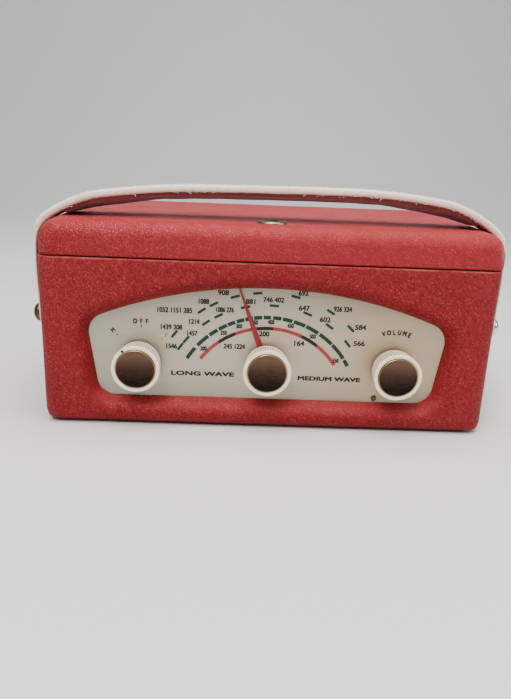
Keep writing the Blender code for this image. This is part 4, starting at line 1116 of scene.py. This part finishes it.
def make_lining():
    """The maroon backing under the strap, ragged along its edges and sagging at the shoulders."""
    half_width, ragged, hang = 10.3 * MM, 0.35, 1.3
    sag_start, sag_end, sag_depth = 66 * MM, 113 * MM, 0.7
    chance = random.Random(11)
    rings = []
    line = [spot for spot in whole_line() if abs(spot[0]) < LINING_END]
    for x, z, turn in line:
        middle, across, out = strap_frame(x, z, turn)
        inner = -strap_thickness(z) / 2
        near, far = (half_width + chance.uniform(-ragged, ragged) * MM for _ in range(2))
        puff = 0.35 * MM * noise.noise(Vector((x * 90, 3, 7)))
        rise, fall = (abs(x) - sag_start) / (18 * MM), (sag_end - abs(x)) / (9 * MM)
        sag = min(1, max(0, rise), max(0, fall))
        top, low = inner + 0.12 * MM, inner - (hang + sag_depth * sag) * MM + puff
        soft, bulge = 0.4 * MM, 0.1 * MM
        corners = ((-near, top), (-near + soft, low + soft / 2), (-near * 0.6, low), (0, low - bulge))
        corners += ((far * 0.6, low), (far - soft, low + soft / 2), (far, top))
        rings.append([middle + across * along + out * away for along, away in corners])
    finished("strap_lining", skin(rings), LINING, "handle", ["handle_lining"], 60)


def thread(points, radius):
    """A thin three-sided thread through points, as a bmesh, finer at its last point."""
    rings = []
    for here, point in enumerate(points):
        before, after = points[max(0, here - 1)], points[min(len(points) - 1, here + 1)]
        line = (after - before).normalized()
        side = line.orthogonal().normalized()
        other = line.cross(side)
        size = radius * (0.45 if here == len(points) - 1 else 1)
        rings.append([point + (side * cos(a) + other * sin(a)) * size for a in (0, 2.09, 4.19)])
    return skin(rings)


def make_threads():
    """Frayed ends along both edges of the strap, and the stitches that hold the lining."""
    ends, thread_radius, half_stitch, stitch_line = 170, 0.2 * MM, 1.25 * MM, 8.4 * MM
    chance = random.Random(23)
    line = [spot for spot in whole_line() if abs(spot[0]) < LINING_END]
    frayed, stitches = [], []
    for number in range(ends):
        index = chance.randrange(len(line) - 1)
        share = chance.random()
        x, z, turn = (a + (b - a) * share for a, b in zip(line[index], line[index + 1]))
        middle, across, out = strap_frame(x, z, turn)
        thick, front = strap_thickness(z) / 2, number % 3 != 0
        edge = (-10.7 if front else 10.6) * MM
        start = middle + across * edge + out * (-thick * 0.8 if front else thick * 0.75)
        way = Vector((chance.uniform(-1, 1), chance.uniform(-0.5, 0.3), chance.uniform(-0.5, 0.4)))
        way = way.normalized() * chance.uniform(0.7, 1.9) * MM
        curl = Vector([chance.uniform(-1, 1) for _ in range(3)]) * 0.35 * MM
        points = [start, start + way * 0.4 + curl * 0.6, start + way * 0.75 + curl, start + way]
        frayed.append(thread(points, chance.uniform(0.08, 0.2) * MM))
    finished("strap_frayed_threads", gathered(frayed), THREAD, "handle")
    length = 0.0
    for (x0, z0, t0), (x1, z1, t1) in zip(line, line[1:]):
        length += hypot(x1 - x0, z1 - z0)
        while length > STITCH_PITCH:
            length -= STITCH_PITCH
            share = 1 - length / hypot(x1 - x0, z1 - z0)
            x, z, turn = (a + (b - a) * share for a, b in ((x0, x1), (z0, z1), (t0, t1)))
            middle, across, out = strap_frame(x, z, turn)
            ahead = out.cross(across).normalized() * half_stitch
            for edge in (-stitch_line, stitch_line):
                base = middle + across * edge + out * (strap_thickness(z) / 2 - 0.02 * MM)
                risen = base + out * 0.16 * MM
                points = [base - ahead, risen - ahead * 0.5, risen + ahead * 0.5, base + ahead]
                stitches.append(thread(points, thread_radius))
    finished("strap_stitches", gathered(stitches), THREAD, "handle", angle=80)


# ---------------------------------------------------------------- CAD parts that show


def make_panel_screws():
    """The dial plate's two screws: the left keeps the plate's finish and the right is painted dark, as
    painted shade under the window's lip.
    """
    for side, name in ((-1, "left"), (1, "right")):
        low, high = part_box(f"panel_screw_{name}")
        place = Vector(((low.x + high.x) / 2, high.y, (low.z + high.z) / 2))
        head = screw_head(place, (0, -1, 0), 1.4 * MM, high.y - low.y, 40 * side)
        # The right screw is painted dark, as painted shade under the window's lip
        finish = DIAL_METAL if side < 0 else DARK_PAINTED_METAL
        finished(f"plate_screw_{name}", head, finish, "cabinet", [f"panel_screw_{name}"])


def dress_cad_parts():
    """Gives each CAD part that shows its own finish."""
    finishes = {
        PLYWOOD: ("carcass", "lid_board"),
        DIAL_METAL: ("dial_panel",),
        STEEL: (
            "chassis", "capacitor_frame", "catch_keeper", "catch_tongue", "speaker_frame",
            "hinge_body_leaf_left", "hinge_body_leaf_right", "hinge_lid_leaf_left", "hinge_lid_leaf_right",
            "wave_switch_spindle", "tuning_spindle", "volume_spindle", "volume_control_body",
        ),
        ALUMINIUM: (
            "tuned_can_1", "tuned_can_2", "tuned_can_3", "transistor_1", "transistor_2", "moving_vanes",
        ),
        CORE_STEEL: ("driver_transformer", "output_transformer"),
        BRASS: ("grille_frame",),
        GRILLE_METAL: ("speaker_grille",),
        CLOTH: ("speaker_cloth",),
        CONE_PAPER: ("speaker_cone",),
        MAGNET_PAINT: ("speaker_magnet",),
        LAMINATE: ("circuit_board", "wave_switch_body"),
        FERRITE: ("ferrite_rod",),
        WIRE: ("long_wave_coil", "medium_wave_coil"),
        RUBBER: ("rod_holder_left", "rod_holder_right"),
        BLACK_PLASTIC: ("battery_connector",),
        BATTERY: ("battery",),
        CAN_SLEEVE: ("smoothing_capacitor",),
    }
    for material, names in finishes.items():
        for name in names:
            slots = frame["nodes"][name].data.materials
            if len(slots):
                slots[0] = material
            else:
                slots.append(material)


# ---------------------------------------------------------------- stage, light and camera


def make_stage():
    """A pale floor that curves up behind the radio, and soft studio light."""
    half_width, flat_end, bend, top = 3.0, 0.9, 0.7, 2.4
    rows = [(-1.6, 0.0), (flat_end, 0.0)]
    rows += list(arc(flat_end, bend, bend, -pi / 2, 0, 12))[1:]
    rows.append((flat_end + bend, top))
    shape = bmesh.new()
    lines = [[shape.verts.new((side * half_width, y, z)) for side in (-1, 1)] for y, z in rows]
    for line, after in zip(lines, lines[1:]):
        shape.faces.new((line[0], line[1], after[1], after[0]))
    floor = meshed("studio_floor", shape)
    floor.data.shade_smooth()
    paint = Paint("studio_paper", (0.74, 0.73, 0.71), 0.75)
    paint.bump(paint.noise(300.0, 2.0), 0.05, 0.2 * MM)
    floor.data.materials.append(paint.material)
    lamp("key", (-0.35, -0.95, 1.15), 0.6, 11.0, (1.0, 0.97, 0.93))
    lamp("overhead", (0.05, -0.12, 1.25), 1.3, 16.0, (0.98, 0.98, 1.0))
    lamp("side", (1.1, -0.35, 0.6), 0.5, 3.0, (0.95, 0.98, 1.0))
    world = bpy.data.worlds.new("studio")
    world.use_nodes = True
    background = world.node_tree.nodes["Background"]
    background.inputs["Color"].default_value = (0.80, 0.84, 0.88, 1)
    background.inputs["Strength"].default_value = 0.35
    bpy.context.scene.world = world
    bpy.context.scene.view_settings.view_transform = "AgX"
    bpy.context.scene.view_settings.look = "AgX - Medium High Contrast"


def lamp(name, place, size, power, colour):
    """A round area light aimed at the radio."""
    light = bpy.data.lights.new(name, "AREA")
    light.shape = "DISK"
    light.size = size
    light.energy = power
    light.color = colour
    made = bpy.data.objects.new(name, light)
    made.location = place
    aim = Vector((0, 0, 0.06)) - Vector(place)
    made.rotation_euler = aim.to_track_quat("-Z", "Y").to_euler()
    bpy.context.scene.collection.objects.link(made)


def make_camera():
    """The camera: a little left of the middle, above the dial, looking down along +Y."""
    pitch, yaw, roll = radians(17.5), radians(1.25), radians(2.3)
    ahead = Vector((sin(yaw) * cos(pitch), cos(yaw) * cos(pitch), -sin(pitch)))
    right = Vector((cos(yaw), -sin(yaw), 0))
    up = right.cross(ahead)
    tilted = right * cos(roll) + up * sin(roll)
    risen = up * cos(roll) - right * sin(roll)
    camera = bpy.data.cameras.new("camera")
    camera.lens = 33.476
    camera.sensor_width = 36
    camera.clip_start = 0.01
    made = bpy.data.objects.new("camera", camera)
    matrix = Matrix((tilted, risen, -ahead)).transposed().to_4x4()
    matrix.translation = (-13.78 * MM, CASE_FRONT - 332.22 * MM, 151.29 * MM)
    made.matrix_world = matrix
    bpy.context.scene.collection.objects.link(made)
    bpy.context.scene.camera = made


make_case()
make_lid()
make_hinge_screws()
make_feet_and_studs()
make_printing()
make_pointer()
for knob in ("wave_switch", "tuning", "volume"):
    make_knob(knob)
make_dot()
make_catch()
make_strap()
make_lining()
make_threads()
make_panel_screws()
dress_cad_parts()
make_stage()
make_camera()
